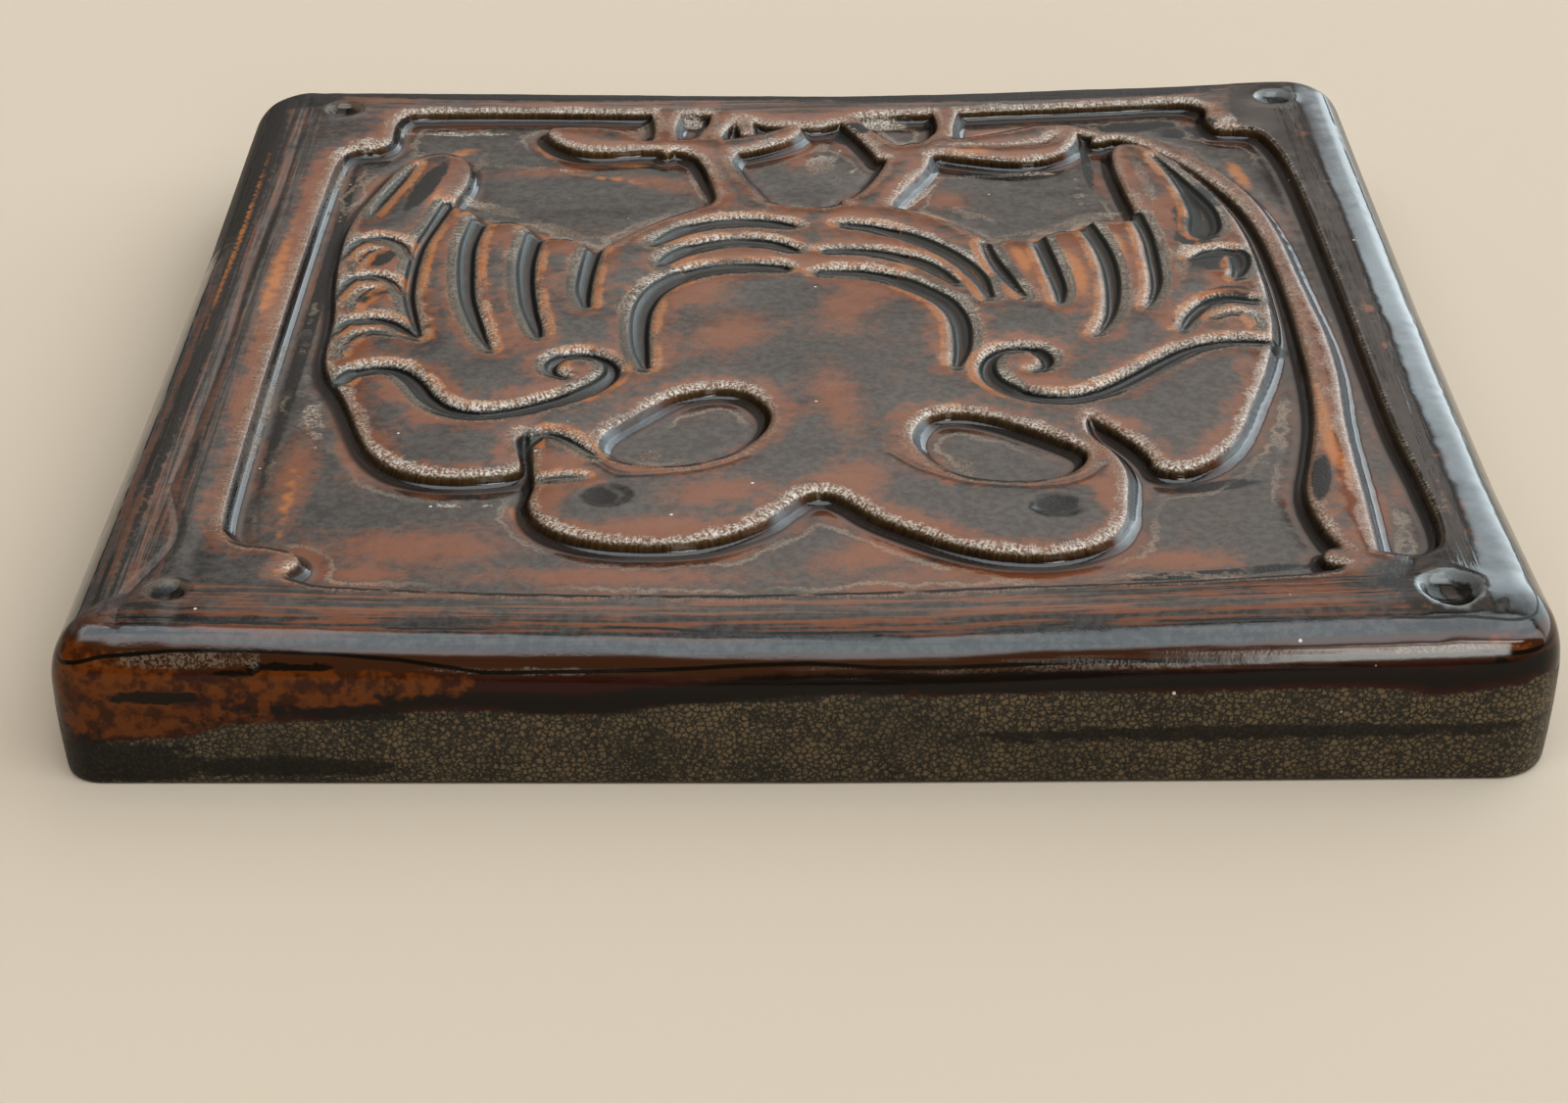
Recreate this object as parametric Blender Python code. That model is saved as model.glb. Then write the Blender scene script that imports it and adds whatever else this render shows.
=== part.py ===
# Art pottery tile: a thick square slab with a sunk panel and a double-headed eagle in relief.
# The tile lies on its back. X runs to the right, Y to the far edge, Z up, and the origin is
# under the middle of the tile. The eagle's heads point to the near edge.
import math

import bmesh
import bpy
import numpy as np
from mathutils import Vector
from mathutils.geometry import delaunay_2d_cdt

MM = 0.001

# Driving dimensions of the slab, in millimetres.
WIDTH = 204.4
THICK = 23.7
# Each corner: its side along X, its side along Y and its radius. The far two are rounder.
CORNERS = [(1, 1, 11.0), (-1, 1, 11.0), (-1, -1, 5.5), (1, -1, 8.0)]
LEAST_RADIUS = 2.5
# The top edge is rounded like a quarter of an ellipse, this wide and this high.
ROUNDING_WIDTH = 7.0
ROUNDING_HEIGHT = 10.0
ROUNDING_STEPS = 4
# The near border sags towards its edge: how much at places along it, and over what strip.
NEAR_SAG = [(-102, 0.0), (-66, 0.0), (-15, 0.8), (20, 0.7), (45, -0.3), (66, -0.6), (102, -0.3)]
SAG_STRIP = 13.0
# How many steps of the rounding belong to the carved face, so that a dimple can reach into it.
FACE_STEPS = 2
# The sides are widest halfway up: their inset and height lower down, to the flat underside.
LOWER_SIDE = [(0.2, 6.5), (0.8, 1.0), (1.5, 0.0)]
CORNER_STEPS = 5
SIDE_STEPS = 16

# The clay curled a little in the kiln: how far each corner stands above the middle.
CURL = {"near left": 1.1, "near right": 2.3, "far left": 1.1, "far right": 2.6}
# The outlines below were read from a picture taken from the near side, as if the face were flat.
# Every millimetre that the curl lifts a place made it look this much further back.
READING_LEAN = 1.77
# The edges were cut by hand: how far each stands beyond the nominal line, at places along it.
NEAR_EDGE = [(-102, 0.5), (-60, 1.0), (0, 1.7), (60, 1.7), (102, 1.5)]
FAR_EDGE = [(-102, 0.2), (-54, 1.4), (-20, 1.0), (8, -0.8), (26, -0.6), (53, 0.9), (102, 1.0)]
LEFT_EDGE = [(-102, 1.2), (-40, 0.3), (30, 0.0), (102, 1.0)]
RIGHT_EDGE = [(-102, 1.0), (-60, -0.3), (0, -0.4), (60, 0.2), (102, 0.8)]
# The strip along each edge that follows those lines.
EDGE_STRIP = 9.0

# Depths of the relief and how far its walls run out, in millimetres.
PANEL_DEPTH = 2.4
WALL_RUN = 3.0
GROOVE_RUN = 1.4

# Spacing of the points along outlines and along grooves, and the least gap between two points.
OUTLINE_STEP = 2.2
GROOVE_STEP = 2.2
JOIN = 0.45
# A point counts as hidden where another form covers it by this much.
COVER = 0.25
# Where two walls meet, their common valley is looked for at these shares of a wall's run.
VALLEY_SHARES = (0.85, 0.7, 0.55, 0.4, 0.25)

# The sunk panel, whose corners are notched.
PANEL = [
    (-64, -88.4), (-69.5, -87), (-72.8, -84.3), (-71.4, -81.4), (-72.3, -78.6), (-75.8, -77),
    (-79.6, -76), (-82.4, -73), (-83.8, -67), (-84.3, -40), (-84.5, 0), (-84.3, 40),
    (-83.8, 62), (-82.8, 68.5), (-80, 71.6), (-76.6, 72.2), (-75, 75), (-75, 82), (-73.8, 87),
    (-70, 89.4), (-52, 89.8), (-33, 89.4), (-20, 89), (-14, 88), (-10, 86), (-6, 83.2),
    (-1, 82.2), (4, 82.3), (8, 84.4), (12, 87.2), (18, 88.2), (26, 88.4), (42, 90), (56, 91.3),
    (67, 92.4), (73, 92), (76, 88.8), (75.8, 83), (77, 79.4), (80.6, 78.8), (84, 77.4),
    (86, 72), (87.4, 60), (88.2, 36), (88.4, 0), (88.4, -38), (89.4, -58), (89.8, -71),
    (88.8, -77.6), (85.6, -80.8), (81.4, -80.2), (76.8, -78.8), (72.8, -79.2), (72.6, -81.6),
    (75, -83.4), (71.5, -85.4), (62, -86.8), (45, -88.3), (20, -89.7), (-5, -90.9), (-35, -90.6),
]

# The raised forms: both heads, breast and tail root in one, the wings and the claws.
FIGURE = {
    "body": [
        (-39.2, -58), (-39.6, -64), (-38, -69), (-34, -72.8), (-29, -75), (-23, -75.8),
        (-16, -75.2), (-10.4, -72.6), (-6, -69), (-3, -64.8), (0, -61.4), (3.4, -60.9),
        (6.6, -63.4), (9.8, -67.4), (14, -71), (20, -75.2), (26.5, -78.2), (33, -79),
        (38.5, -77.7), (43, -74.2), (45.3, -69), (46.3, -62), (46.8, -56), (46, -51),
        (44.8, -47.6), (42.8, -44), (42.4, -38), (46, -20), (40, 10), (33, 26), (27, 35),
        (22, 39.6), (16.2, 43.8), (9, 45.6), (4.5, 43.8), (0, 43.9), (-4, 45.6), (-9, 47.5),
        (-14.6, 45.4), (-18.8, 42.2), (-23, 38.6), (-27.4, 33.6), (-31.4, 28.4), (-35.5, 22.5),
        (-42, 8), (-46, -20), (-43, -38), (-40.6, -43.6), (-40.3, -49),
    ],
    "left wing": [
        (-43.4, -43), (-43, -49), (-42.6, -53.4), (-45.6, -54.9), (-51, -55.4), (-56, -54.6),
        (-60.6, -52), (-64.2, -47.4), (-66.6, -41.6), (-68.6, -35), (-71, -27.6), (-73.6, -21.6),
        (-75, -14), (-75.4, 0), (-76.6, 12), (-77.3, 24), (-77.2, 35), (-75.8, 45), (-73.8, 53),
        (-71.8, 60.5), (-69.2, 65.8), (-65.6, 68.4), (-61.6, 67.2), (-59.6, 62.6), (-59.4, 55),
        (-60.6, 49), (-61.2, 44.6), (-58.8, 43.2), (-56.8, 40.6), (-55.6, 36.8), (-52.6, 37.1),
        (-49.6, 37.2), (-47.2, 34.6), (-45.6, 30.4), (-42.8, 30), (-39.4, 29.6), (-37, 26.8),
        (-34, 20), (-30, 0), (-32, -30), (-39, -39),
    ],
    "right wing": [
        (43.4, -37), (46.6, -41), (49.6, -45.6), (51.4, -50), (52.2, -53.4), (55.4, -54.2),
        (59.4, -51.6), (62.9, -47), (65.6, -41), (67.8, -34), (70.4, -26), (72.8, -17),
        (74.5, -8), (75.3, 2), (75.5, 15), (75.2, 27), (74, 38), (71.8, 48), (69, 57), (66, 63.8),
        (62.8, 69), (59.8, 71.6), (57.4, 69.8), (56.8, 62), (57.6, 50), (58.4, 40),
        (56.4, 36.4), (53.6, 36.8), (50.6, 36.4), (48.6, 33.4), (46.4, 32.4), (43.6, 32),
        (41, 29.6), (38.6, 28.4), (35.6, 28.8), (33, 26), (31, 10), (33, -20), (39, -33),
    ],
    "left claw": [
        (-15, 62), (-18.4, 67.8), (-22, 70.4), (-28, 71), (-34, 70.3), (-38.6, 70.6),
        (-42.6, 73.2), (-45.2, 77), (-45.6, 80.2), (-42, 81.2), (-36.5, 80.8), (-32, 79.4),
        (-29.8, 76.6), (-27.6, 74.2), (-22, 75), (-15, 75.2), (-11.6, 70),
    ],
    "right claw": [
        (20, 64), (25, 68.4), (29, 67.4), (34, 65.8), (39.5, 65), (44, 66), (47.6, 69),
        (50, 73.4), (50.6, 77.4), (49.4, 81), (48, 78.6), (47.2, 74.8), (44.4, 72.2), (37, 71.6),
        (30, 71.8), (23, 73), (16, 70),
    ],
    "right upper claw": [
        (24, 71), (32, 71.2), (40, 72), (44.6, 74), (47, 77.2), (48.6, 80.6), (45, 81.2),
        (40.5, 79.6), (36, 77.4), (32, 75.8), (28.6, 75), (25, 77),
    ],
}

# Raised ridges, each a line of (x, y, half width): legs, toes, and a rim round the right wing.
RIDGES = {
    "left leg": [
        (-10.6, 44, 5.0), (-10.8, 49, 3.6), (-12.6, 56, 2.7), (-14.4, 63, 2.2), (-15.6, 70, 3.0),
        (-16, 75, 2.4),
    ],
    "right leg": [
        (11.6, 45, 4.6), (13.6, 49, 3.0), (16.6, 56, 3.0), (19.2, 63, 3.4), (20.4, 70, 3.4),
    ],
    "left toe two": [(-24.2, 72, 2.4), (-24.6, 79, 1.5), (-24.6, 85, 1.8), (-24.6, 92, 3.0)],
    "left toe three": [(-17, 73, 2.0), (-15.8, 79, 1.6), (-14.3, 84, 1.8), (-12.6, 91, 3.4)],
    "left finger": [(-13.5, 72, 3.0), (-8, 74.4, 2.6), (-3.4, 77.6, 2.2), (-1, 80.4, 1.4)],
    "left small toe": [(-9.4, 78.6, 0.8), (-9.9, 83, 1.0), (-10.4, 89, 2.0)],
    "right inner toe": [(17, 68, 2.6), (13.6, 75.4, 1.6), (10.6, 81.6, 1.2), (8.6, 88, 1.6)],
    "right toe two": [(23, 70, 2.6), (26.2, 76, 1.5), (27.2, 82, 1.1), (27.6, 91, 2.4)],
    "right wing rim": [
        (54.6, 74.6, 0.8), (56.4, 76, 1.1), (59.6, 76, 1.3), (63.4, 72.8, 1.4),
        (67.6, 67, 1.4), (71.6, 60, 1.4), (75.2, 51, 1.4), (78, 41, 1.2), (79.6, 29, 1.1),
        (80.2, 15, 1.1), (80.6, 2, 1.3), (80.8, -10, 1.7), (80.4, -24, 1.8), (79.2, -38, 1.8),
        (77.8, -50, 2.6), (76.4, -62, 3.6), (76.6, -72, 3.0), (77.6, -80, 1.6),
    ],
    "right wing tie": [(57, 75.8, 1.0), (53, 78, 0.8), (49, 80.4, 0.8)],
}

# Grooves, each a depth and a line of (x, y, half width).
GROOVES = {
    "left strip line": (0.8, [
        (-69, 63.4, 0.7), (-71, 55.5, 1.2), (-73.2, 47, 1.2), (-74.4, 40, 0.7),
    ]),
    "left feather 1": (1.1, [
        (-61.6, 46, 1.6), (-63.4, 36, 1.5), (-64.7, 28, 1.5), (-65.1, 18, 1.5), (-64.7, 8, 1.5),
        (-63.3, 0, 1.4), (-61.3, -8, 0.9),
    ]),
    "left feather 2": (1.1, [
        (-55.6, 39, 2.1), (-56.6, 28, 2.0), (-56.2, 18, 2.0), (-55.2, 8, 1.9), (-53.6, 0, 1.8),
        (-51.8, -7, 1.5), (-49.6, -14, 0.8),
    ]),
    "left feather 3": (1.2, [
        (-45.6, 33, 2.2), (-46.3, 22, 2.1), (-45.8, 12, 2.0), (-44.5, 2, 1.9), (-43, -5, 1.6),
        (-42.3, -9, 1.1),
    ]),
    "left feather 4": (1.2, [
        (-35.2, 26, 2.0), (-35.9, 17, 1.9), (-36.1, 9, 1.8), (-35.3, 2.4, 1.2),
    ]),
    "left scale 1": (0.9, [
        (-77.2, 22.5, 0.8), (-75.6, 28.6, 1.2), (-71.6, 31, 1.3), (-67.8, 28, 1.2),
        (-65.8, 22, 0.9),
    ]),
    "left scale 2": (0.9, [
        (-76.6, 7, 0.8), (-75, 13.3, 1.2), (-71.5, 15.4, 1.4), (-68, 13, 1.2), (-65.8, 8, 0.9),
    ]),
    "left scale 3": (1.0, [
        (-75.6, -8, 0.8), (-73.6, -3, 1.3), (-70, -1.6, 1.8), (-66.4, -3, 1.7),
        (-63.4, -6.4, 1.4), (-61.6, -9, 0.9),
    ]),
    "left scale 1 inner": (0.5, [(-74.4, 18.4, 0.6), (-74, 23.4, 1.0), (-71.8, 25.8, 0.7)]),
    "left scale 2 inner": (0.5, [(-73, 3, 0.6), (-72.6, 8, 1.0), (-70.6, 10.6, 0.7)]),
    "left scale 3 inner": (0.5, [
        (-73.2, -15, 0.6), (-72.2, -9, 1.0), (-69.4, -6.4, 1.0), (-65.4, -7.4, 0.6),
    ]),
    "left volute": (1.4, [
        (-72.4, -24.6, 1.6), (-70.6, -21.4, 1.9), (-67, -19.8, 2.1), (-63.4, -20.8, 2.1),
        (-60.6, -24.6, 2.1), (-58, -30, 2.1), (-54.4, -34.2, 2.1), (-49.8, -35.8, 2.1),
        (-45, -34.9, 2.1), (-40.4, -32.7, 2.1), (-36, -30, 2.1), (-32.4, -26.8, 2.0),
        (-30.2, -22.5, 1.8), (-30.6, -18.3, 1.7), (-33.6, -15.6, 1.6), (-37.2, -15.7, 1.5),
        (-39.6, -18.4, 1.5), (-39.3, -21.7, 1.4), (-36.8, -23.7, 1.0),
    ]),
    "left beak line": (1.3, [
        (-41.6, -46.4, 1.2), (-39.4, -42.6, 1.4), (-36.4, -43.6, 1.3), (-33.4, -46.8, 1.1),
        (-31.2, -50, 0.8),
    ]),
    "left mouth": (0.5, [(-38.4, -57.2, 0.8), (-35.6, -56.8, 1.0), (-32.8, -56.8, 0.6)]),
    "right feather 1": (1.1, [
        (31.4, 28, 1.2), (32.4, 21, 1.4), (34.4, 13, 1.4), (36.6, 5.4, 0.8),
    ]),
    "right feather 2": (1.2, [
        (40.4, 31, 1.8), (41.4, 22, 1.7), (42.2, 14, 1.7), (42.6, 8, 1.5), (42.2, 2.6, 0.9),
    ]),
    "right feather 3": (1.2, [
        (49, 35.6, 1.9), (50.8, 26, 1.8), (51.5, 17, 1.8), (51.2, 8, 1.7), (50.2, 0, 1.4),
        (48.6, -5.6, 1.1), (47, -9, 0.7),
    ]),
    "right feather 4": (1.2, [
        (58, 40, 1.6), (59, 30, 1.5), (59, 20, 1.5), (58.6, 11, 1.4), (57.4, 5, 1.1),
        (56, 0.8, 0.7),
    ]),
    "right strip line": (1.2, [
        (63.8, 66, 0.8), (66.4, 57, 1.3), (68.4, 48, 2.0), (69.6, 40, 2.8), (69.2, 33, 3.2),
        (68.4, 29.6, 2.4),
    ]),
    "right scale 1": (1.0, [
        (65.6, 20.4, 1.2), (69, 22.6, 2.0), (73, 22, 2.2), (73.2, 17, 2.0), (71.8, 12, 1.4),
    ]),
    "right scale 2": (1.0, [
        (60.6, -8, 0.9), (62.8, -2.6, 1.6), (65.8, 2, 1.7), (69.4, 4, 1.6), (73.8, 2.6, 1.4),
    ]),
    "right scale 2 inner": (0.5, [
        (66, -3.4, 0.5), (69.5, -1.6, 0.8), (72, -3, 0.8), (72.8, -7, 0.5),
    ]),
    "right volute": (1.4, [
        (74.4, -12.6, 1.6), (70, -12, 1.8), (65.6, -12.4, 1.9), (61, -14.6, 2.0),
        (56.6, -18.6, 2.0), (52, -23.6, 2.1), (47, -28.4, 2.1), (42, -31, 2.1), (37, -31, 2.1),
        (32.4, -28.6, 2.0), (29.6, -24.8, 1.9), (28.9, -20.5, 1.8), (30, -16.4, 1.7),
        (33, -13.8, 1.6), (36.6, -14.2, 1.6), (38.4, -17.2, 1.5), (38, -20.4, 1.3),
        (36, -21.8, 0.9),
    ]),
    "breast left 1": (1.1, [
        (-24.8, -20.6, 1.2), (-25.8, -14, 1.9), (-26.3, -6, 2.1), (-26, 2, 2.2), (-24.2, 9, 2.3),
        (-20.2, 14.4, 2.4), (-14.8, 17.5, 2.4), (-8.4, 18.4, 2.3), (-2.6, 18, 1.9),
    ]),
    "breast left 2": (1.1, [
        (-23.6, 19.4, 1.4), (-20.8, 23.8, 2.0), (-16.2, 27.2, 2.2), (-10.2, 28.8, 2.3),
        (-4.8, 27.8, 2.2), (-1, 25.2, 1.7),
    ]),
    "breast left 3": (1.1, [
        (-24.8, 27.8, 1.3), (-21.2, 32.4, 2.0), (-16.2, 36, 2.2), (-10.2, 37.4, 2.3),
        (-5, 37, 2.2), (-1.4, 35.8, 1.6),
    ]),
    "breast right 1": (1.1, [
        (24, -20.6, 1.2), (25.3, -14, 1.9), (25.6, -6, 2.1), (24.8, 0, 2.1), (22.8, 5, 2.2),
        (19.2, 9.6, 2.2), (14.6, 13.6, 2.2), (9.2, 15.8, 2.2), (3, 16.2, 1.8),
    ]),
    "breast right 2": (1.0, [
        (4.2, 25, 1.5), (9.2, 25, 1.8), (14.6, 23.4, 1.9), (19.2, 20.4, 1.9), (22.7, 16.4, 1.8),
        (25.8, 11, 1.1),
    ]),
    "breast right 3": (1.0, [
        (7.4, 36.4, 1.6), (12.6, 34.7, 1.9), (18.1, 31, 2.0), (23, 26, 2.0), (27, 20, 2.0),
        (29.7, 13, 1.8), (31, 5, 1.1),
    ]),
}

# Sunk ovals under the beaks, each a depth and an outline.
OVALS = {
    "left": (2.3, [
        (-4.6, -37), (-5.6, -42.4), (-8.6, -47.6), (-13, -51.4), (-19, -53.6), (-25, -53.2),
        (-29.4, -50.2), (-31.2, -46.2), (-30.2, -41.6), (-26, -36), (-21, -30), (-16.6, -27.4),
        (-12.4, -26.8), (-8.6, -28.2), (-5.8, -32),
    ]),
    "right": (2.3, [
        (17.4, -38.4), (15.8, -44), (17, -49.6), (20.2, -54.4), (24.6, -57.4), (30, -58.6),
        (35.6, -58), (40, -55.2), (42.2, -51), (41.6, -47.2), (37.8, -43.4), (33.6, -40),
        (29.4, -37.2), (24.8, -35.4), (20.4, -35.6),
    ]),
}

# Round dimples: name, x, y, radius along x, radius along y, depth.
DIMPLES = [
    ("left eye", -28.8, -62.8, 3.7, 3.3, 0.5),
    ("right eye", 36.2, -66, 4.2, 3.6, 0.5),
    ("near left dot", -87.8, -89.2, 2.8, 2.8, 1.8),
    ("near right dot", 87.5, -90.2, 4.0, 4.0, 2.4),
    ("far left dot", -85, 89.6, 3.2, 3.2, 1.8),
    ("far right dot", 89, 92.4, 3.2, 3.2, 1.8),
]

# How many points a dimple's rim has, and the share of its radius at which its bowl has more.
DIMPLE_POINTS = 12
DIMPLE_RING = 0.6

# Glaze, as plain colours.
GLAZE_COLOUR = (0.028, 0.014, 0.009, 1.0)
GLAZE_ROUGHNESS = 0.12


def curl_height(x, y):
    """How far the face stands up at a place: nothing midway across, most at the corners."""
    across = np.clip(2 * x / WIDTH, -1, 1)
    along = (np.clip(2 * y / WIDTH, -1, 1) + 1) / 2
    left = CURL["near left"] * (1 - along) + CURL["far left"] * along
    right = CURL["near right"] * (1 - along) + CURL["far right"] * along
    return np.where(across < 0, left, right) * across ** 2


def true_places(points):
    """The places of a table, with the lean of its reading taken out."""
    places = np.array(points, float)
    places[:, 1] -= READING_LEAN * curl_height(places[:, 0], places[:, 1])
    return places


def smooth_line(points, step, closed):
    """Points along a smooth line through the given ones, about one step apart.

    A third number of a point, its half width, is carried along the line.
    """
    given = true_places(points)
    count = len(given)
    line = []
    for k in range(count if closed else count - 1):
        if closed:
            before, start, end, after = (given[(k + j) % count] for j in (-1, 0, 1, 2))
        else:
            before, start = given[max(k - 1, 0)], given[k]
            end, after = given[k + 1], given[min(k + 2, count - 1)]
        pieces = max(1, round(math.dist(start[:2], end[:2]) / step))
        for t in np.arange(pieces) / pieces:
            line.append(0.5 * (
                2 * start + (end - before) * t
                + (2 * before - 5 * start + 4 * end - after) * t ** 2
                + (3 * start - before - 3 * end + after) * t ** 3
            ))
    if not closed:
        line.append(given[-1])
    return np.array(line)


def ribbon(points, step):
    """The closed outline around a line of (x, y, half width), pointed at both ends."""
    line = smooth_line(points, step, closed=False)
    along = np.gradient(line[:, :2], axis=0)
    along /= np.linalg.norm(along, axis=1)[:, None]
    side = np.stack([-along[:, 1], along[:, 0]], axis=1) * line[:, 2:3]
    first = line[0, :2] - along[0] * line[0, 2]
    last = line[-1, :2] + along[-1] * line[-1, 2]
    return np.vstack([[first], line[:, :2] - side, [last], (line[:, :2] + side)[::-1]])


def signed_distance(places, outline):
    """Distance of each place to a closed outline, negative inside it."""
    start, end = outline, np.roll(outline, -1, axis=0)
    run = end - start
    length = np.maximum((run ** 2).sum(axis=1), 1e-12)
    away = places[:, None] - start[None]
    share = np.clip((away * run).sum(axis=2) / length, 0, 1)
    near = np.sqrt(((away - share[..., None] * run) ** 2).sum(axis=2)).min(axis=1)
    x, y = places[:, 0:1], places[:, 1:2]
    rises = (start[:, 1] <= y) != (end[:, 1] <= y)
    climb = np.where(run[:, 1] == 0, 1e-12, run[:, 1])
    crossed = x < start[:, 0] + (y - start[:, 1]) * run[:, 0] / climb
    inside = (rises & crossed).sum(axis=1) % 2 == 1
    return np.where(inside, -near, near)


def outward(outline):
    """The unit normal at each point of a closed outline, pointing out of it."""
    along = np.roll(outline, -1, axis=0) - np.roll(outline, 1, axis=0)
    normal = np.stack([along[:, 1], -along[:, 0]], axis=1)
    normal /= np.maximum(np.linalg.norm(normal, axis=1), 1e-9)[:, None]
    x, y = outline[:, 0], outline[:, 1]
    turning = (x * np.roll(y, -1) - np.roll(x, -1) * y).sum()
    return normal if turning > 0 else -normal


class Relief:
    """The carved face: the outlines of its forms, and how deep it lies at any place."""

    def __init__(self):
        self.panel = smooth_line(PANEL, OUTLINE_STEP, True)
        self.figure = [smooth_line(points, OUTLINE_STEP, True) for points in FIGURE.values()]
        self.figure += [ribbon(points, OUTLINE_STEP) for points in RIDGES.values()]
        self.grooves = [(depth, ribbon(points, GROOVE_STEP)) for depth, points in GROOVES.values()]
        self.ovals = [
            (depth, smooth_line(points, OUTLINE_STEP, True)) for depth, points in OVALS.values()
        ]
        self.dimples = true_places([dimple[1:] for dimple in DIMPLES])

    def figure_distance(self, places, skip=None):
        """Distance to the raised forms, negative on them."""
        others = [form for form in self.figure if form is not skip]
        return np.min([signed_distance(places, form) for form in others], axis=0)

    def ground(self, places):
        """Distance to the nearest crest, positive on the sunk ground."""
        return np.minimum(self.figure_distance(places), -signed_distance(places, self.panel))

    def depth(self, places, skip=None):
        """How far the face is cut down at each place: the deepest of all cuts."""
        deepest = PANEL_DEPTH * np.clip(self.ground(places) / WALL_RUN, 0, 1)
        cuts = [(cut, WALL_RUN) for cut in self.ovals] + [(cut, GROOVE_RUN) for cut in self.grooves]
        for (depth, outline), run in cuts:
            if outline is not skip:
                inward = -signed_distance(places, outline)
                deepest = np.maximum(deepest, depth * np.clip(inward / run, 0, 1))
        for x, y, radius_x, radius_y, depth in self.dimples:
            share = ((places[:, 0] - x) / radius_x) ** 2 + ((places[:, 1] - y) / radius_y) ** 2
            deepest = np.maximum(deepest, depth * np.sqrt(np.clip(1 - share, 0, 1)))
        return deepest


class Plan:
    """Points and lines on the face. A point close to an earlier one becomes that one."""

    def __init__(self):
        self.points = np.empty((0, 2))
        self.lines = []

    def add(self, place):
        if len(self.points):
            gaps = np.abs(self.points - place).max(axis=1)
            nearest = int(gaps.argmin())
            if gaps[nearest] < JOIN:
                return nearest
        self.points = np.vstack([self.points, place])
        return len(self.points) - 1

    def add_line(self, places, kept, closed=True):
        """The kept places as points, with a line wherever two neighbours are both kept."""
        names = [self.add(place) if keep else None for place, keep in zip(places, kept)]
        following = names[1:] + names[:1] if closed else names[1:]
        for a, b in zip(names, following):
            if a is not None and b is not None and a != b:
                self.lines.append((a, b))

    def add_wall(self, outline, normal, kept, run, clearance):
        """A wall's crest, its foot one run away, and its share of a valley between two walls.

        The clearance gives how far places lie from the nearest crest, on the low side.
        """
        self.add_line(outline, kept)
        foot = outline + normal * run
        clear = kept & (clearance(foot) > 0.97 * run)
        self.add_line(foot, clear)
        missing = kept & ~clear
        for share in VALLEY_SHARES:
            valley = outline + normal * run * share
            found = missing & (clearance(valley) > 0.94 * run * share)
            self.add_line(valley, found)
            missing &= ~found

    def sheet(self):
        """The triangles inside the outermost lines: places, edges, faces and their sources."""
        return delaunay_2d_cdt([Vector(point) for point in self.points], self.lines, [], 1, 1e-4)


def settled(plan):
    """The plan with a point wherever two lines cross, and no two points closer than JOIN."""
    places, edges, _, _, lines_under_edge, _ = plan.sheet()
    clean = Plan()
    names = [clean.add(np.array(place)) for place in places]
    for (a, b), lines in zip(edges, lines_under_edge):
        if lines and names[a] != names[b]:
            clean.lines.append((names[a], names[b]))
    return clean


def plan_ground(plan, relief):
    """The panel's edge and the outlines of the raised forms, each with its wall."""
    kept = relief.figure_distance(relief.panel) > -COVER
    plan.add_wall(relief.panel, -outward(relief.panel), kept, WALL_RUN, relief.ground)
    for form in relief.figure:
        kept = relief.figure_distance(form, skip=form) > -COVER
        kept &= signed_distance(form, relief.panel) < COVER
        plan.add_wall(form, outward(form), kept, WALL_RUN, relief.ground)


def plan_cuts(plan, relief):
    """The ovals, grooves and dimples cut into the raised forms."""
    for depth, outline in relief.ovals:
        def inside(places):
            return -signed_distance(places, outline)
        plan.add_wall(outline, -outward(outline), np.full(len(outline), True), WALL_RUN, inside)
    for (depth, outline), (_, points) in zip(relief.grooves, GROOVES.values()):
        plan.add_line(outline, relief.depth(outline, skip=outline) < 0.5 * depth)
        middle = smooth_line(points, GROOVE_STEP, closed=False)[:, :2]
        plan.add_line(middle, relief.depth(middle, skip=outline) < depth, closed=False)
    for x, y, radius_x, radius_y, _ in relief.dimples:
        angles = 2 * np.pi * np.arange(DIMPLE_POINTS) / DIMPLE_POINTS
        spoke = np.stack([radius_x * np.cos(angles), radius_y * np.sin(angles)], axis=1)
        for share in (1, DIMPLE_RING):
            plan.add_line((x, y) + share * spoke, np.full(DIMPLE_POINTS, True))
        plan.add((x, y))


def slab_ring(inset):
    """The slab's plan outline, drawn in by inset, anticlockwise from the right-hand side."""
    corners = []
    for k, (side_x, side_y, given) in enumerate(CORNERS):
        radius = max(given - inset, LEAST_RADIUS)
        centre = np.array([side_x, side_y]) * (WIDTH / 2 - inset - radius)
        angles = np.radians(90 * (k + np.arange(CORNER_STEPS + 1) / CORNER_STEPS))
        corners.append(centre + radius * np.stack([np.cos(angles), np.sin(angles)], axis=1))
    shares = np.arange(1, SIDE_STEPS)[:, None] / SIDE_STEPS
    ring = []
    for corner, following in zip(corners, corners[1:] + corners[:1]):
        ring += [corner, corner[-1] + (following[0] - corner[-1]) * shares]
    return np.vstack(ring)


def rounding_ring(step):
    """Inset and drop of a ring of the rounding: step 0 is on top, the last is outside."""
    angle = math.radians(90 * (1 - step / ROUNDING_STEPS))
    return ROUNDING_WIDTH * (1 - math.cos(angle)), ROUNDING_HEIGHT * (1 - math.sin(angle))


def rounding_drop(places):
    """How far the rounding of the top edge lowers each place."""
    share = np.clip(1 + signed_distance(places, slab_ring(0)) / ROUNDING_WIDTH, 0, 1)
    return ROUNDING_HEIGHT * (1 - np.sqrt(1 - share ** 2))


def sag(x, y):
    """How far the near border hangs below the rest of the face."""
    share = np.clip((SAG_STRIP - WIDTH / 2 - y) / SAG_STRIP, 0, 1)
    depths = np.interp(x, [place for place, _ in NEAR_SAG], [depth for _, depth in NEAR_SAG])
    return depths * share * (2 - share)


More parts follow.
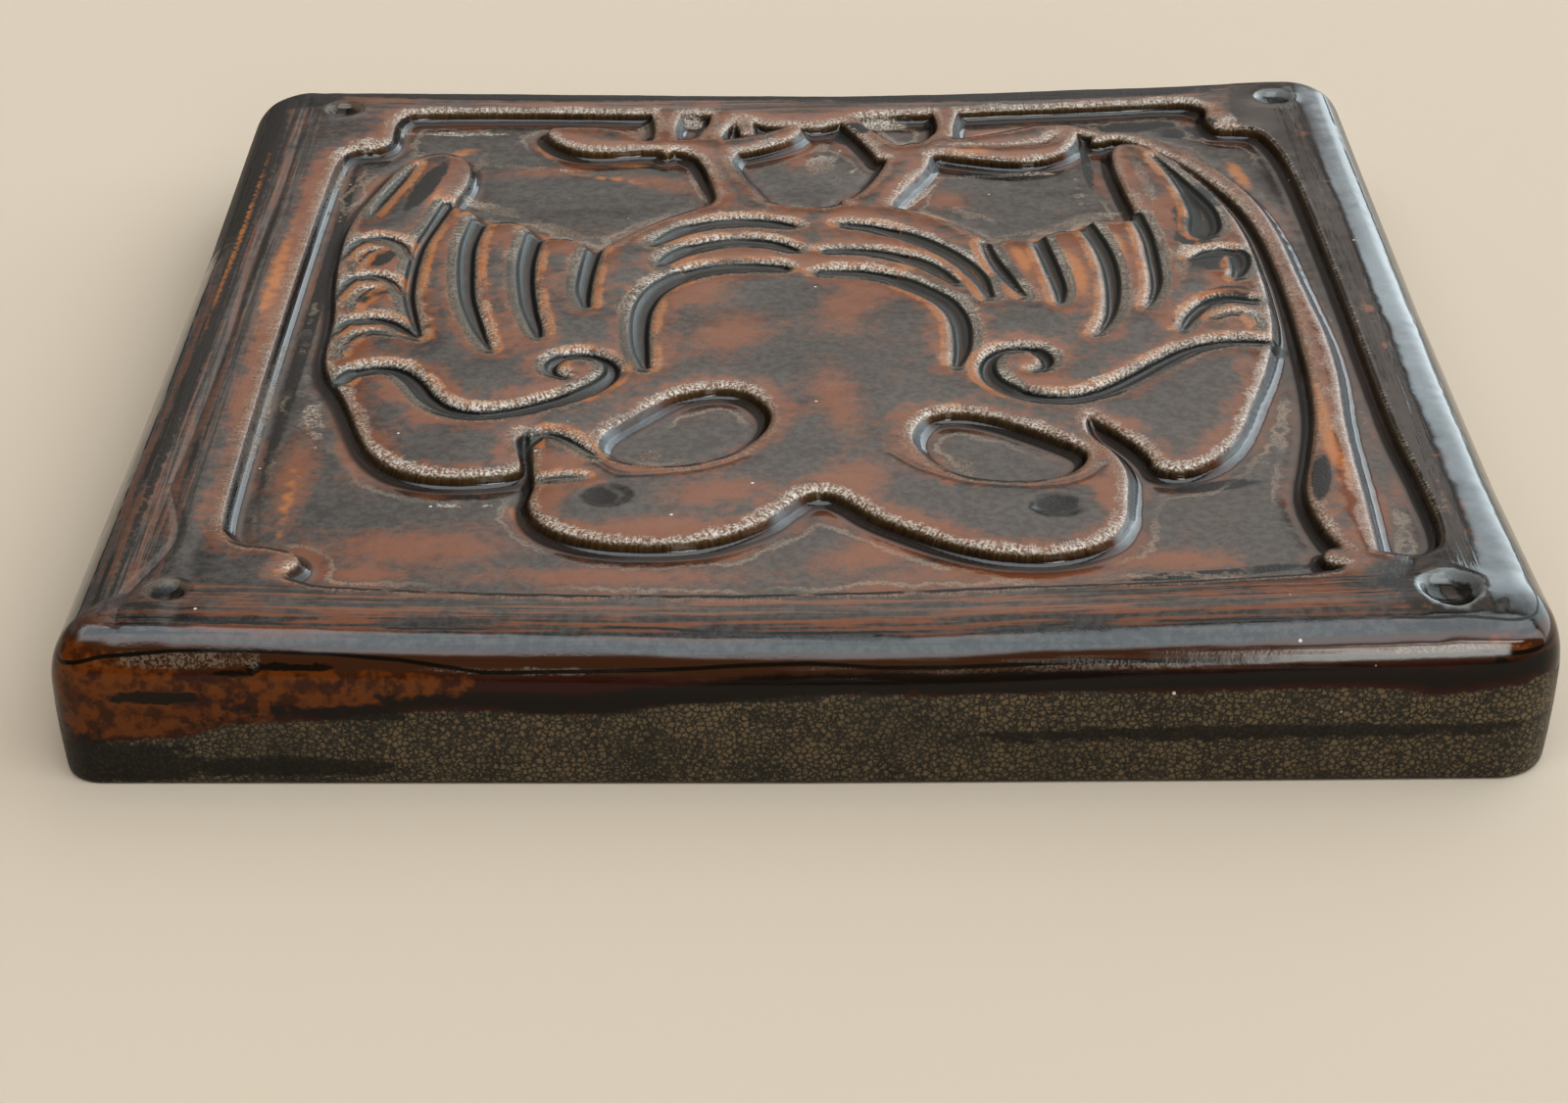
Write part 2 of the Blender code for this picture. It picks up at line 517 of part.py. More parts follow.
def edge_shift(across, along, low, high):
    """How far two opposite edges move a place: all of it at the edge, none inside its strip."""
    reach = (np.abs(across) - WIDTH / 2 + EDGE_STRIP) / EDGE_STRIP
    inward = np.interp(along, [place for place, _ in low], [shift for _, shift in low])
    outward_shift = np.interp(along, [place for place, _ in high], [shift for _, shift in high])
    return np.clip(reach, 0, 1) * np.where(across < 0, -inward, outward_shift)


def placed(places, heights):
    """Points of the tile in metres, with the shifts of its edges, the curl and the sag."""
    x, y = places[:, 0], places[:, 1]
    across = x + edge_shift(x, y, LEFT_EDGE, RIGHT_EDGE)
    along = y + edge_shift(y, x, NEAR_EDGE, FAR_EDGE)
    lifted = heights * (1 + (curl_height(x, y) - sag(x, y)) / THICK)
    return [Vector(point) * MM for point in np.stack([across, along, lifted], axis=1)]


def make_face(bm):
    """The carved face as one triangulated sheet that follows every outline. Returns its rim."""
    relief, plan = Relief(), Plan()
    for step in range(FACE_STEPS, -1, -1):
        ring = slab_ring(rounding_ring(step)[0])
        plan.add_line(ring, np.full(len(ring), True))
    plan_ground(plan, relief)
    plan_cuts(plan, relief)
    places, _, faces, _, _, _ = settled(settled(plan)).sheet()
    places = np.array([tuple(place) for place in places])
    heights = THICK - rounding_drop(places) - relief.depth(places)
    verts = [bm.verts.new(point) for point in placed(places, heights)]
    for names in faces:
        bm.faces.new([verts[name] for name in names])
    return verts[:len(ring)]


def make_sides(bm, upper):
    """The rest of the rounding, the sides and the flat base, ring by ring."""
    rings = [rounding_ring(step) for step in range(FACE_STEPS + 1, ROUNDING_STEPS + 1)]
    rings = [(inset, THICK - drop) for inset, drop in rings] + LOWER_SIDE
    for inset, height in rings:
        ring = slab_ring(inset)
        lower = [bm.verts.new(point) for point in placed(ring, np.full(len(ring), height))]
        for k in range(len(ring)):
            bm.faces.new((upper[k - 1], upper[k], lower[k], lower[k - 1]))
        upper = lower
    bm.faces.new(upper)


def glaze_material():
    material = bpy.data.materials.new("dark glaze")
    material.use_nodes = True
    shader = material.node_tree.nodes["Principled BSDF"]
    shader.inputs["Base Color"].default_value = GLAZE_COLOUR
    shader.inputs["Roughness"].default_value = GLAZE_ROUGHNESS
    shader.inputs["Metallic"].default_value = 0.0
    material.diffuse_color = GLAZE_COLOUR
    return material


def make_tile(collection):
    bm = bmesh.new()
    make_sides(bm, make_face(bm))
    bmesh.ops.recalc_face_normals(bm, faces=bm.faces)
    mesh = bpy.data.meshes.new("tile")
    bm.to_mesh(mesh)
    bm.free()
    mesh.materials.append(glaze_material())
    tile = bpy.data.objects.new("tile", mesh)
    collection.objects.link(tile)
    return tile


def main():
    for item in list(bpy.data.objects):
        bpy.data.objects.remove(item)
    model = bpy.data.collections.new("pottery tile")
    bpy.context.scene.collection.children.link(model)
    make_tile(model)


main()
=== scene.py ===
# Looks of the art pottery tile: one fine mesh of its carved face, sides and underside, a dark
# iron glaze that thins to tan and amber on the crests, a pale floor and soft studio light.
# X runs to the right, Y to the far edge and Z up. Sizes are in millimetres unless they say so.
import math

import bmesh
import bpy
import numpy as np
from mathutils import Matrix, Vector
from mathutils.geometry import delaunay_2d_cdt

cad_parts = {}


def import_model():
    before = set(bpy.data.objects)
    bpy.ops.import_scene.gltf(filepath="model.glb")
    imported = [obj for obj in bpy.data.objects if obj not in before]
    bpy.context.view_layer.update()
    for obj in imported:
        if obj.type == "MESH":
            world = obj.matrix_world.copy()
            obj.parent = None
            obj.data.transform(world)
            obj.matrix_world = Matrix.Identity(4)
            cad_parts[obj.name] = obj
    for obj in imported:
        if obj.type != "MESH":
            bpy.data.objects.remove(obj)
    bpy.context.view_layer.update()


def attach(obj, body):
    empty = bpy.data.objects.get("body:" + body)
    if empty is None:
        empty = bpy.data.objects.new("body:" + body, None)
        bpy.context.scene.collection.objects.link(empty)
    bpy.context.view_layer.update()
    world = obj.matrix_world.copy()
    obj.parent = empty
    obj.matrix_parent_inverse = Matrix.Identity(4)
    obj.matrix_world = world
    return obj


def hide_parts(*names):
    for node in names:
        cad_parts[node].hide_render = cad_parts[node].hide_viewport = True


MM = 0.001

# The photograph's camera: its place in metres, its angles in degrees and its lens.
CAMERA_PLACE = (-0.00341, -0.45953, 0.23782)
CAMERA_PITCH = 29.42
CAMERA_YAW = -0.03
CAMERA_ROLL = 0.33
CAMERA_LENS = 71.46
SENSOR_WIDTH = 36.0

# Driving dimensions of the slab, the same as the solid's. Each corner has its side of X and Y
# and its radius. The top edge is rounded by a quarter ellipse.
WIDTH = 204.4
THICK = 23.7
CORNERS = [(1, 1, 11.0), (-1, 1, 11.0), (-1, -1, 5.5), (1, -1, 8.0)]
LEAST_RADIUS = 2.5
ROUNDING_WIDTH = 7.0
ROUNDING_HEIGHT = 10.0
# How far the near border sags, at places along X, fading out over a strip, and how much each
# corner curls up.
NEAR_SAG = [(-102, 0.0), (-66, 0.0), (-15, 0.8), (20, 0.7), (45, -0.3), (66, -0.6), (102, -0.3)]
SAG_STRIP = 13.0
CURL = {"near left": 1.1, "near right": 2.3, "far left": 1.1, "far right": 2.6}
# Shifts of the four edges in plan, at places along each, which fade out over a strip.
NEAR_EDGE = [(-102, 0.5), (-60, 1.0), (0, 1.7), (60, 1.7), (102, 1.5)]
FAR_EDGE = [(-102, 0.2), (-54, 1.4), (-20, 1.0), (8, -0.8), (26, -0.6), (53, 0.9), (102, 1.0)]
LEFT_EDGE = [(-102, 1.2), (-40, 0.3), (30, 0.0), (102, 1.0)]
RIGHT_EDGE = [(-102, 1.0), (-60, -0.3), (0, -0.4), (60, 0.2), (102, 0.8)]
EDGE_STRIP = 9.0
# How much too far a place was read in the photo, for each millimetre that it stands up.
READING_LEAN = 1.77
# How deep the panel is sunk, and how far its walls reach in plan.
PANEL_DEPTH = 2.4
WALL_RUN = 3.0

# The face is first worked out on a square grid of heights, this far each way, with this spacing.
HALF = 103.0
CELL = 0.25
AXIS = np.arange(-HALF, HALF + CELL / 2, CELL)
GRID_X, GRID_Y = np.meshgrid(AXIS, AXIS)
# How far from an outline its distance is worked out, and the pieces that smooth lines are cut in.
REACH = 8.0
LINE_STEP = 1.0
TINY = 1e-12

# How far the clay softens the cut forms, and the glaze everything.
SOFTENING = 0.36
LAST_SOFTENING = 0.2
# A wall's fall: how far from its crest it reaches each share of its depth.
WALL_PROFILE = [(0.25, 0.0), (1.35, 0.86), (2.3, 1.0)]
# The two sides of a groove: the one towards the tile's middle falls steeply.
STEEP_GROOVE, GENTLE_GROOVE = 0.7, 2.0
# How far the grey of a groove spreads up its gentle side.
CHANNEL_SPREAD = 1.0
CREASE_RUN = 0.4
# The clay slumps beside the panel's walls, and by a share of that beside the other cuts.
SLUMP = 0.30
SLUMP_SHARE = 0.6
SLUMP_REACH = 2.0
# A shallow gouge runs along the foot of the panel's walls, at this distance from their crest.
GOUGE = 0.12
GOUGE_PLACE = 2.7
GOUGE_WIDTH = 1.5
# The lip around a dimple: its height and place as shares of the dimple's depth and radius.
LIP_HEIGHT = 0.08
LIP_PLACE = 1.25
LIP_WIDTH = 0.22
# Where the parts of the border start: beside the panel, and at its near and far end.
BESIDE_PANEL = (80, 86)
AT_PANEL_ENDS = (86, 90)
# Waves left by the hand: height, sizes along X and Y, seed, and where on the face they are.
WAVES = [
    (0.10, 26, 22, 3, "all"), (0.035, 9, 8, 4, "all"), (0.05, 2.2, 60, 5, "side"),
    (0.04, 60, 2.0, 6, "end"), (0.012, 1.6, 1.6, 7, "all"),
]

# The mesh's points are this close where the face bends sharply, twice as far apart where it
# bends gently, and four times elsewhere. A bend is how far the face leaves its blurred copy.
POINT_SPACING = 0.55
SHARP_BEND = 0.022
GENTLE_BEND = 0.003
BEND_WIDTH = 0.6
BEND_BLUR = 0.4
# The triangulation keeps what lies inside the rim, and joins points closer than this.
INSIDE_ONLY = 1
CLOSEST = 1e-4
# The rings of the rounding and the sides, and the least gap inside the first one.
RIM_GAP = 0.35
RIM_ANGLE = 45.0
RIM_STEPS = 8
WALL_RINGS = 10
BASE_INSET = 0.6
BASE_ROUNDING = 0.9
BASE_ANGLES = (30, 60, 90)
SIDE_STEPS = 170
CORNER_STEPS = 14
ARC_STEPS = 200

# The sunk panel, whose corners are notched.
PANEL = [
    (-64, -88.4), (-69.5, -87), (-72.8, -84.3), (-71.4, -81.4), (-72.3, -78.6), (-75.8, -77),
    (-79.6, -76), (-82.4, -73), (-83.8, -67), (-84.3, -40), (-84.5, 0), (-84.3, 40),
    (-83.8, 62), (-82.8, 68.5), (-80, 71.6), (-76.6, 72.2), (-75, 75), (-75, 82), (-73.8, 87),
    (-70, 89.4), (-52, 89.8), (-33, 89.4), (-20, 89), (-14, 88), (-10, 86), (-6, 83.2),
    (-1, 82.2), (4, 82.3), (8, 84.4), (12, 87.2), (18, 88.2), (26, 88.4), (42, 90), (56, 91.3),
    (67, 92.4), (73, 92), (76, 88.8), (75.8, 83), (77, 79.4), (80.6, 78.8), (84, 77.4),
    (86, 72), (87.4, 60), (88.2, 36), (88.4, 0), (88.4, -38), (89.4, -58), (89.8, -71),
    (88.8, -77.6), (85.6, -80.8), (81.4, -80.2), (76.8, -78.8), (72.8, -79.2), (72.6, -81.6),
    (75, -83.4), (71.5, -85.4), (62, -86.8), (45, -88.3), (20, -89.7), (-5, -90.9), (-35, -90.6),
]

# The raised forms: both heads, breast and tail root in one, the wings and the claws.
FIGURE = {
    "body": [
        (-39.2, -58), (-39.6, -64), (-38, -69), (-34, -72.8), (-29, -75), (-23, -75.8),
        (-16, -75.2), (-10.4, -72.6), (-6, -69), (-3, -64.8), (0, -61.4), (3.4, -60.9),
        (6.6, -63.4), (9.8, -67.4), (14, -71), (20, -75.2), (26.5, -78.2), (33, -79),
        (38.5, -77.7), (43, -74.2), (45.3, -69), (46.3, -62), (46.8, -56), (46, -51),
        (44.8, -47.6), (42.8, -44), (42.4, -38), (46, -20), (40, 10), (33, 26), (27, 35),
        (22, 39.6), (16.2, 43.8), (9, 45.6), (4.5, 43.8), (0, 43.9), (-4, 45.6), (-9, 47.5),
        (-14.6, 45.4), (-18.8, 42.2), (-23, 38.6), (-27.4, 33.6), (-31.4, 28.4), (-35.5, 22.5),
        (-42, 8), (-46, -20), (-43, -38), (-40.6, -43.6), (-40.3, -49),
    ],
    "left wing": [
        (-43.4, -43), (-43, -49), (-42.6, -53.4), (-45.6, -54.9), (-51, -55.4), (-56, -54.6),
        (-60.6, -52), (-64.2, -47.4), (-66.6, -41.6), (-68.6, -35), (-71, -27.6), (-73.6, -21.6),
        (-75, -14), (-75.4, 0), (-76.6, 12), (-77.3, 24), (-77.2, 35), (-75.8, 45), (-73.8, 53),
        (-71.8, 60.5), (-69.2, 65.8), (-65.6, 68.4), (-61.6, 67.2), (-59.6, 62.6), (-59.4, 55),
        (-60.6, 49), (-61.2, 44.6), (-58.8, 43.2), (-56.8, 40.6), (-55.6, 36.8), (-52.6, 37.1),
        (-49.6, 37.2), (-47.2, 34.6), (-45.6, 30.4), (-42.8, 30), (-39.4, 29.6), (-37, 26.8),
        (-34, 20), (-30, 0), (-32, -30), (-39, -39),
    ],
    "right wing": [
        (43.4, -37), (46.6, -41), (49.6, -45.6), (51.4, -50), (52.2, -53.4), (55.4, -54.2),
        (59.4, -51.6), (62.9, -47), (65.6, -41), (67.8, -34), (70.4, -26), (72.8, -17),
        (74.5, -8), (75.3, 2), (75.5, 15), (75.2, 27), (74, 38), (71.8, 48), (69, 57), (66, 63.8),
        (62.8, 69), (59.8, 71.6), (57.4, 69.8), (56.8, 62), (57.6, 50), (58.4, 40),
        (56.4, 36.4), (53.6, 36.8), (50.6, 36.4), (48.6, 33.4), (46.4, 32.4), (43.6, 32),
        (41, 29.6), (38.6, 28.4), (35.6, 28.8), (33, 26), (31, 10), (33, -20), (39, -33),
    ],
    "left claw": [
        (-15, 62), (-18.4, 67.8), (-22, 70.4), (-28, 71), (-34, 70.3), (-38.6, 70.6),
        (-42.6, 73.2), (-45.2, 77), (-45.6, 80.2), (-42, 81.2), (-36.5, 80.8), (-32, 79.4),
        (-29.8, 76.6), (-27.6, 74.2), (-22, 75), (-15, 75.2), (-11.6, 70),
    ],
    "right claw": [
        (20, 64), (25, 68.4), (29, 67.4), (34, 65.8), (39.5, 65), (44, 66), (47.6, 69),
        (50, 73.4), (50.6, 77.4), (49.4, 81), (48, 78.6), (47.2, 74.8), (44.4, 72.2), (37, 71.6),
        (30, 71.8), (23, 73), (16, 70),
    ],
    "right upper claw": [
        (24, 71), (32, 71.2), (40, 72), (44.6, 74), (47, 77.2), (48.6, 80.6), (45, 81.2),
        (40.5, 79.6), (36, 77.4), (32, 75.8), (28.6, 75), (25, 77),
    ],
}

# Raised ridges, each a line of (x, y, half width): legs, toes, and a rim round the right wing.
RIDGES = {
    "left leg": [
        (-10.6, 44, 5.0), (-10.8, 49, 3.6), (-12.6, 56, 2.7), (-14.4, 63, 2.2), (-15.6, 70, 3.0),
        (-16, 75, 2.4),
    ],
    "right leg": [
        (11.6, 45, 4.6), (13.6, 49, 3.0), (16.6, 56, 3.0), (19.2, 63, 3.4), (20.4, 70, 3.4),
    ],
    "left toe two": [(-24.2, 72, 2.4), (-24.6, 79, 1.5), (-24.6, 85, 1.8), (-24.6, 92, 3.0)],
    "left toe three": [(-17, 73, 2.0), (-15.8, 79, 1.6), (-14.3, 84, 1.8), (-12.6, 91, 3.4)],
    "left finger": [(-13.5, 72, 3.0), (-8, 74.4, 2.6), (-3.4, 77.6, 2.2), (-1, 80.4, 1.4)],
    "left small toe": [(-9.4, 78.6, 0.8), (-9.9, 83, 1.0), (-10.4, 89, 2.0)],
    "right inner toe": [(17, 68, 2.6), (13.6, 75.4, 1.6), (10.6, 81.6, 1.2), (8.6, 88, 1.6)],
    "right toe two": [(23, 70, 2.6), (26.2, 76, 1.5), (27.2, 82, 1.1), (27.6, 91, 2.4)],
    "right wing rim": [
        (54.6, 74.6, 0.8), (56.4, 76, 1.1), (59.6, 76, 1.3), (63.4, 72.8, 1.4),
        (67.6, 67, 1.4), (71.6, 60, 1.4), (75.2, 51, 1.4), (78, 41, 1.2), (79.6, 29, 1.1),
        (80.2, 15, 1.1), (80.6, 2, 1.3), (80.8, -10, 1.7), (80.4, -24, 1.8), (79.2, -38, 1.8),
        (77.8, -50, 2.6), (76.4, -62, 3.6), (76.6, -72, 3.0), (77.6, -80, 1.6),
    ],
    "right wing tie": [(57, 75.8, 1.0), (53, 78, 0.8), (49, 80.4, 0.8)],
}

# Grooves, each a depth and a line of (x, y, half width).
GROOVES = {
    "left strip line": (0.8, [
        (-69, 63.4, 0.7), (-71, 55.5, 1.2), (-73.2, 47, 1.2), (-74.4, 40, 0.7),
    ]),
    "left feather 1": (1.1, [
        (-61.6, 46, 1.6), (-63.4, 36, 1.5), (-64.7, 28, 1.5), (-65.1, 18, 1.5), (-64.7, 8, 1.5),
        (-63.3, 0, 1.4), (-61.3, -8, 0.9),
    ]),
    "left feather 2": (1.1, [
        (-55.6, 39, 2.1), (-56.6, 28, 2.0), (-56.2, 18, 2.0), (-55.2, 8, 1.9), (-53.6, 0, 1.8),
        (-51.8, -7, 1.5), (-49.6, -14, 0.8),
    ]),
    "left feather 3": (1.2, [
        (-45.6, 33, 2.2), (-46.3, 22, 2.1), (-45.8, 12, 2.0), (-44.5, 2, 1.9), (-43, -5, 1.6),
        (-42.3, -9, 1.1),
    ]),
    "left feather 4": (1.2, [
        (-35.2, 26, 2.0), (-35.9, 17, 1.9), (-36.1, 9, 1.8), (-35.3, 2.4, 1.2),
    ]),
    "left scale 1": (0.9, [
        (-77.2, 22.5, 0.8), (-75.6, 28.6, 1.2), (-71.6, 31, 1.3), (-67.8, 28, 1.2),
        (-65.8, 22, 0.9),
    ]),
    "left scale 2": (0.9, [
        (-76.6, 7, 0.8), (-75, 13.3, 1.2), (-71.5, 15.4, 1.4), (-68, 13, 1.2), (-65.8, 8, 0.9),
    ]),
    "left scale 3": (1.0, [
        (-75.6, -8, 0.8), (-73.6, -3, 1.3), (-70, -1.6, 1.8), (-66.4, -3, 1.7),
        (-63.4, -6.4, 1.4), (-61.6, -9, 0.9),
    ]),
    "left scale 1 inner": (0.5, [(-74.4, 18.4, 0.6), (-74, 23.4, 1.0), (-71.8, 25.8, 0.7)]),
    "left scale 2 inner": (0.5, [(-73, 3, 0.6), (-72.6, 8, 1.0), (-70.6, 10.6, 0.7)]),
    "left scale 3 inner": (0.5, [
        (-73.2, -15, 0.6), (-72.2, -9, 1.0), (-69.4, -6.4, 1.0), (-65.4, -7.4, 0.6),
    ]),
    "left volute": (1.4, [
        (-72.4, -24.6, 1.6), (-70.6, -21.4, 1.9), (-67, -19.8, 2.1), (-63.4, -20.8, 2.1),
        (-60.6, -24.6, 2.1), (-58, -30, 2.1), (-54.4, -34.2, 2.1), (-49.8, -35.8, 2.1),
        (-45, -34.9, 2.1), (-40.4, -32.7, 2.1), (-36, -30, 2.1), (-32.4, -26.8, 2.0),
        (-30.2, -22.5, 1.8), (-30.6, -18.3, 1.7), (-33.6, -15.6, 1.6), (-37.2, -15.7, 1.5),
        (-39.6, -18.4, 1.5), (-39.3, -21.7, 1.4), (-36.8, -23.7, 1.0),
    ]),
    "left beak line": (1.3, [
        (-41.6, -46.4, 1.2), (-39.4, -42.6, 1.4), (-36.4, -43.6, 1.3), (-33.4, -46.8, 1.1),
        (-31.2, -50, 0.8),
    ]),
    "left mouth": (0.5, [(-38.4, -57.2, 0.8), (-35.6, -56.8, 1.0), (-32.8, -56.8, 0.6)]),
    "right feather 1": (1.1, [
        (31.4, 28, 1.2), (32.4, 21, 1.4), (34.4, 13, 1.4), (36.6, 5.4, 0.8),
    ]),
    "right feather 2": (1.2, [
        (40.4, 31, 1.8), (41.4, 22, 1.7), (42.2, 14, 1.7), (42.6, 8, 1.5), (42.2, 2.6, 0.9),
    ]),
    "right feather 3": (1.2, [
        (49, 35.6, 1.9), (50.8, 26, 1.8), (51.5, 17, 1.8), (51.2, 8, 1.7), (50.2, 0, 1.4),
        (48.6, -5.6, 1.1), (47, -9, 0.7),
    ]),
    "right feather 4": (1.2, [
        (58, 40, 1.6), (59, 30, 1.5), (59, 20, 1.5), (58.6, 11, 1.4), (57.4, 5, 1.1),
        (56, 0.8, 0.7),
    ]),
    "right strip line": (1.2, [
        (63.8, 66, 0.8), (66.4, 57, 1.3), (68.4, 48, 2.0), (69.6, 40, 2.8), (69.2, 33, 3.2),
        (68.4, 29.6, 2.4),
    ]),
    "right scale 1": (1.0, [
        (65.6, 20.4, 1.2), (69, 22.6, 2.0), (73, 22, 2.2), (73.2, 17, 2.0), (71.8, 12, 1.4),
    ]),
    "right scale 2": (1.0, [
        (60.6, -8, 0.9), (62.8, -2.6, 1.6), (65.8, 2, 1.7), (69.4, 4, 1.6), (73.8, 2.6, 1.4),
    ]),
    "right scale 2 inner": (0.5, [
        (66, -3.4, 0.5), (69.5, -1.6, 0.8), (72, -3, 0.8), (72.8, -7, 0.5),
    ]),
    "right volute": (1.4, [
        (74.4, -12.6, 1.6), (70, -12, 1.8), (65.6, -12.4, 1.9), (61, -14.6, 2.0),
        (56.6, -18.6, 2.0), (52, -23.6, 2.1), (47, -28.4, 2.1), (42, -31, 2.1), (37, -31, 2.1),
        (32.4, -28.6, 2.0), (29.6, -24.8, 1.9), (28.9, -20.5, 1.8), (30, -16.4, 1.7),
        (33, -13.8, 1.6), (36.6, -14.2, 1.6), (38.4, -17.2, 1.5), (38, -20.4, 1.3),
        (36, -21.8, 0.9),
    ]),
    "breast left 1": (1.1, [
        (-24.8, -20.6, 1.2), (-25.8, -14, 1.9), (-26.3, -6, 2.1), (-26, 2, 2.2), (-24.2, 9, 2.3),
        (-20.2, 14.4, 2.4), (-14.8, 17.5, 2.4), (-8.4, 18.4, 2.3), (-2.6, 18, 1.9),
    ]),
    "breast left 2": (1.1, [
        (-23.6, 19.4, 1.4), (-20.8, 23.8, 2.0), (-16.2, 27.2, 2.2), (-10.2, 28.8, 2.3),
        (-4.8, 27.8, 2.2), (-1, 25.2, 1.7),
    ]),
    "breast left 3": (1.1, [
        (-24.8, 27.8, 1.3), (-21.2, 32.4, 2.0), (-16.2, 36, 2.2), (-10.2, 37.4, 2.3),
        (-5, 37, 2.2), (-1.4, 35.8, 1.6),
    ]),
    "breast right 1": (1.1, [
        (24, -20.6, 1.2), (25.3, -14, 1.9), (25.6, -6, 2.1), (24.8, 0, 2.1), (22.8, 5, 2.2),
        (19.2, 9.6, 2.2), (14.6, 13.6, 2.2), (9.2, 15.8, 2.2), (3, 16.2, 1.8),
    ]),
    "breast right 2": (1.0, [
        (4.2, 25, 1.5), (9.2, 25, 1.8), (14.6, 23.4, 1.9), (19.2, 20.4, 1.9), (22.7, 16.4, 1.8),
        (25.8, 11, 1.1),
    ]),
    "breast right 3": (1.0, [
        (7.4, 36.4, 1.6), (12.6, 34.7, 1.9), (18.1, 31, 2.0), (23, 26, 2.0), (27, 20, 2.0),
        (29.7, 13, 1.8), (31, 5, 1.1),
    ]),
}

# Sunk ovals under the beaks, each a depth and an outline.
OVALS = {
    "left": (2.3, [
        (-4.6, -37), (-5.6, -42.4), (-8.6, -47.6), (-13, -51.4), (-19, -53.6), (-25, -53.2),
        (-29.4, -50.2), (-31.2, -46.2), (-30.2, -41.6), (-26, -36), (-21, -30), (-16.6, -27.4),
        (-12.4, -26.8), (-8.6, -28.2), (-5.8, -32),
    ]),
    "right": (2.3, [
        (17.4, -38.4), (15.8, -44), (17, -49.6), (20.2, -54.4), (24.6, -57.4), (30, -58.6),
        (35.6, -58), (40, -55.2), (42.2, -51), (41.6, -47.2), (37.8, -43.4), (33.6, -40),
        (29.4, -37.2), (24.8, -35.4), (20.4, -35.6),
    ]),
}

# Round dimples: name, x, y, radius along x, radius along y, depth.
DIMPLES = [
    ("left eye", -28.8, -62.8, 3.7, 3.3, 0.5),
    ("right eye", 36.2, -66, 4.2, 3.6, 0.5),
    ("near left dot", -87.8, -89.2, 2.8, 2.8, 1.8),
    ("near right dot", 87.5, -90.2, 4.0, 4.0, 2.4),
    ("far left dot", -85, 89.6, 3.2, 3.2, 1.8),
    ("far right dot", 89, 92.4, 3.2, 3.2, 1.8),
]


# Creases pressed or scratched into the face, each a depth and a line of (x, y, half width).
CREASES = {
    "under left oval": (0.22, [
        (-31, -52, 0.5), (-27.5, -56, 0.7), (-22, -56, 0.7), (-14, -54, 0.7), (-8, -50, 0.4),
    ]),
    "under right oval": (0.22, [
        (13, -50, 0.5), (17, -54.5, 0.8), (24, -58.5, 0.8), (33, -60, 0.7), (40, -58, 0.7),
        (45, -52, 0.4),
    ]),
    "near left rib": (0.4, [
        (-92, -60, 0.4), (-89, -75, 0.6), (-93, -90, 0.7), (-93.5, -98, 0.5),
    ]),
    "left rim": (0.35, [
        (-92, 96, 0.4), (-91.4, 60, 0.6), (-91.8, 20, 0.6), (-91.4, -20, 0.6), (-92, -58, 0.4),
    ]),
}

# Lines along the near side: how far down its rounding each runs, at places along X, and how far
# down the other sides it runs.
NEAR_LINES = {
    "hairline": ([
        (-95, 3.4), (-85, 2.8), (-75, 2.7), (-60, 3.0), (-45, 3.0), (-30, 2.5), (-20, 2.6), (-10, 3.2),
        (0, 3.2), (40, 3.0), (60, 3.2), (80, 3.6), (90, 3.9), (97, 4.5),
    ], 3.2),
    "band": ([
        (-95, 4.6), (-80, 5.2), (-60, 5.5), (-20, 5.8), (0, 5.5), (40, 6.0), (60, 5.7), (80, 5.2),
        (92, 5.2),
    ], 5.5),
    "second": ([
        (-100, 9.0), (-95, 7.5), (-85, 6.6), (-75, 6.5), (-65, 6.7), (-55, 7.4), (-44, 8.9), (-30, 8.6),
        (-20, 8.2), (-10, 7.6), (0, 7.3), (10, 8.0), (35, 8.0), (60, 8.6),
    ], 8.0),
    "net": ([
        (-100, 20.5), (-85, 19.0), (-78, 17.0), (-70, 16.0), (-60, 15.0), (-50, 14.5), (-30, 14.5),
        (-20, 13.3), (-10, 12.0), (0, 11.5), (20, 11.5), (40, 12.0), (60, 12.7), (75, 12.5), (85, 13.2),
        (98, 12.0),
    ], 13.0),
}

# Blots on the near side: the middle of each along X and down its run, and its two half sizes.
SIDE_BLOTS = {
    "burnt": [
        (-93, 14, 16, 5.6), (-72, 10.6, 12, 2.2), (-55, 10.8, 10, 1.8), (94, 7.2, 3.2, 1.3),
        (-99, 8, 6, 2), (-66, 13, 8, 1.6),
    ],
    "soot": [
        (-87, 13.2, 6, 0.9), (-96, 23.5, 12, 3.6), (-72, 24, 15, 1.6), (-32, 14, 12, 0.8),
        (5, 10.8, 16, 0.8),
        (44, 11.3, 30, 0.7), (93, 10.2, 1.0, 1.4), (98.5, 10.5, 1.2, 1.6), (96.5, 6, 1.6, 0.6),
        (-60, 15.4, 8, 0.8), (-12, 12, 14, 0.7), (60, 19, 40, 1.0), (-78, 9.6, 3, 0.7),
        (-70, 8.4, 6, 0.6),
    ],
    # Painted sheen: grey-white reflections and a highlight streak on the near side.
    "painted_sheen": [(-84, 7.8, 9, 1.2), (36, 8.7, 22, 0.7), (86, 7.8, 9, 0.5), (-40, 8.6, 12, 0.6)],
}

# How far from a crest the strands follow it, and the slopes between which a wall turns steep.
STRAND_REACH = 7
STEEP_SLOPES = (0.35, 0.9)
# The glaze pools where the face lies this much below its copy that is blurred by the width.
POOL_WIDTH = 1.2
POOL_DEPTHS = (0.06, 0.3)
# Where a blot's place is looked up in the panel, how many half sizes it reaches, and how fast
# one on the near side fades. The dots are the dimples out on the border.
LOOK_FARTHER = 4.0
BLOT_REACH = 2.2
SIDE_BLOT_FALL = 0.7
DOTS_BEYOND = 80
DOT_REACH = 3.0
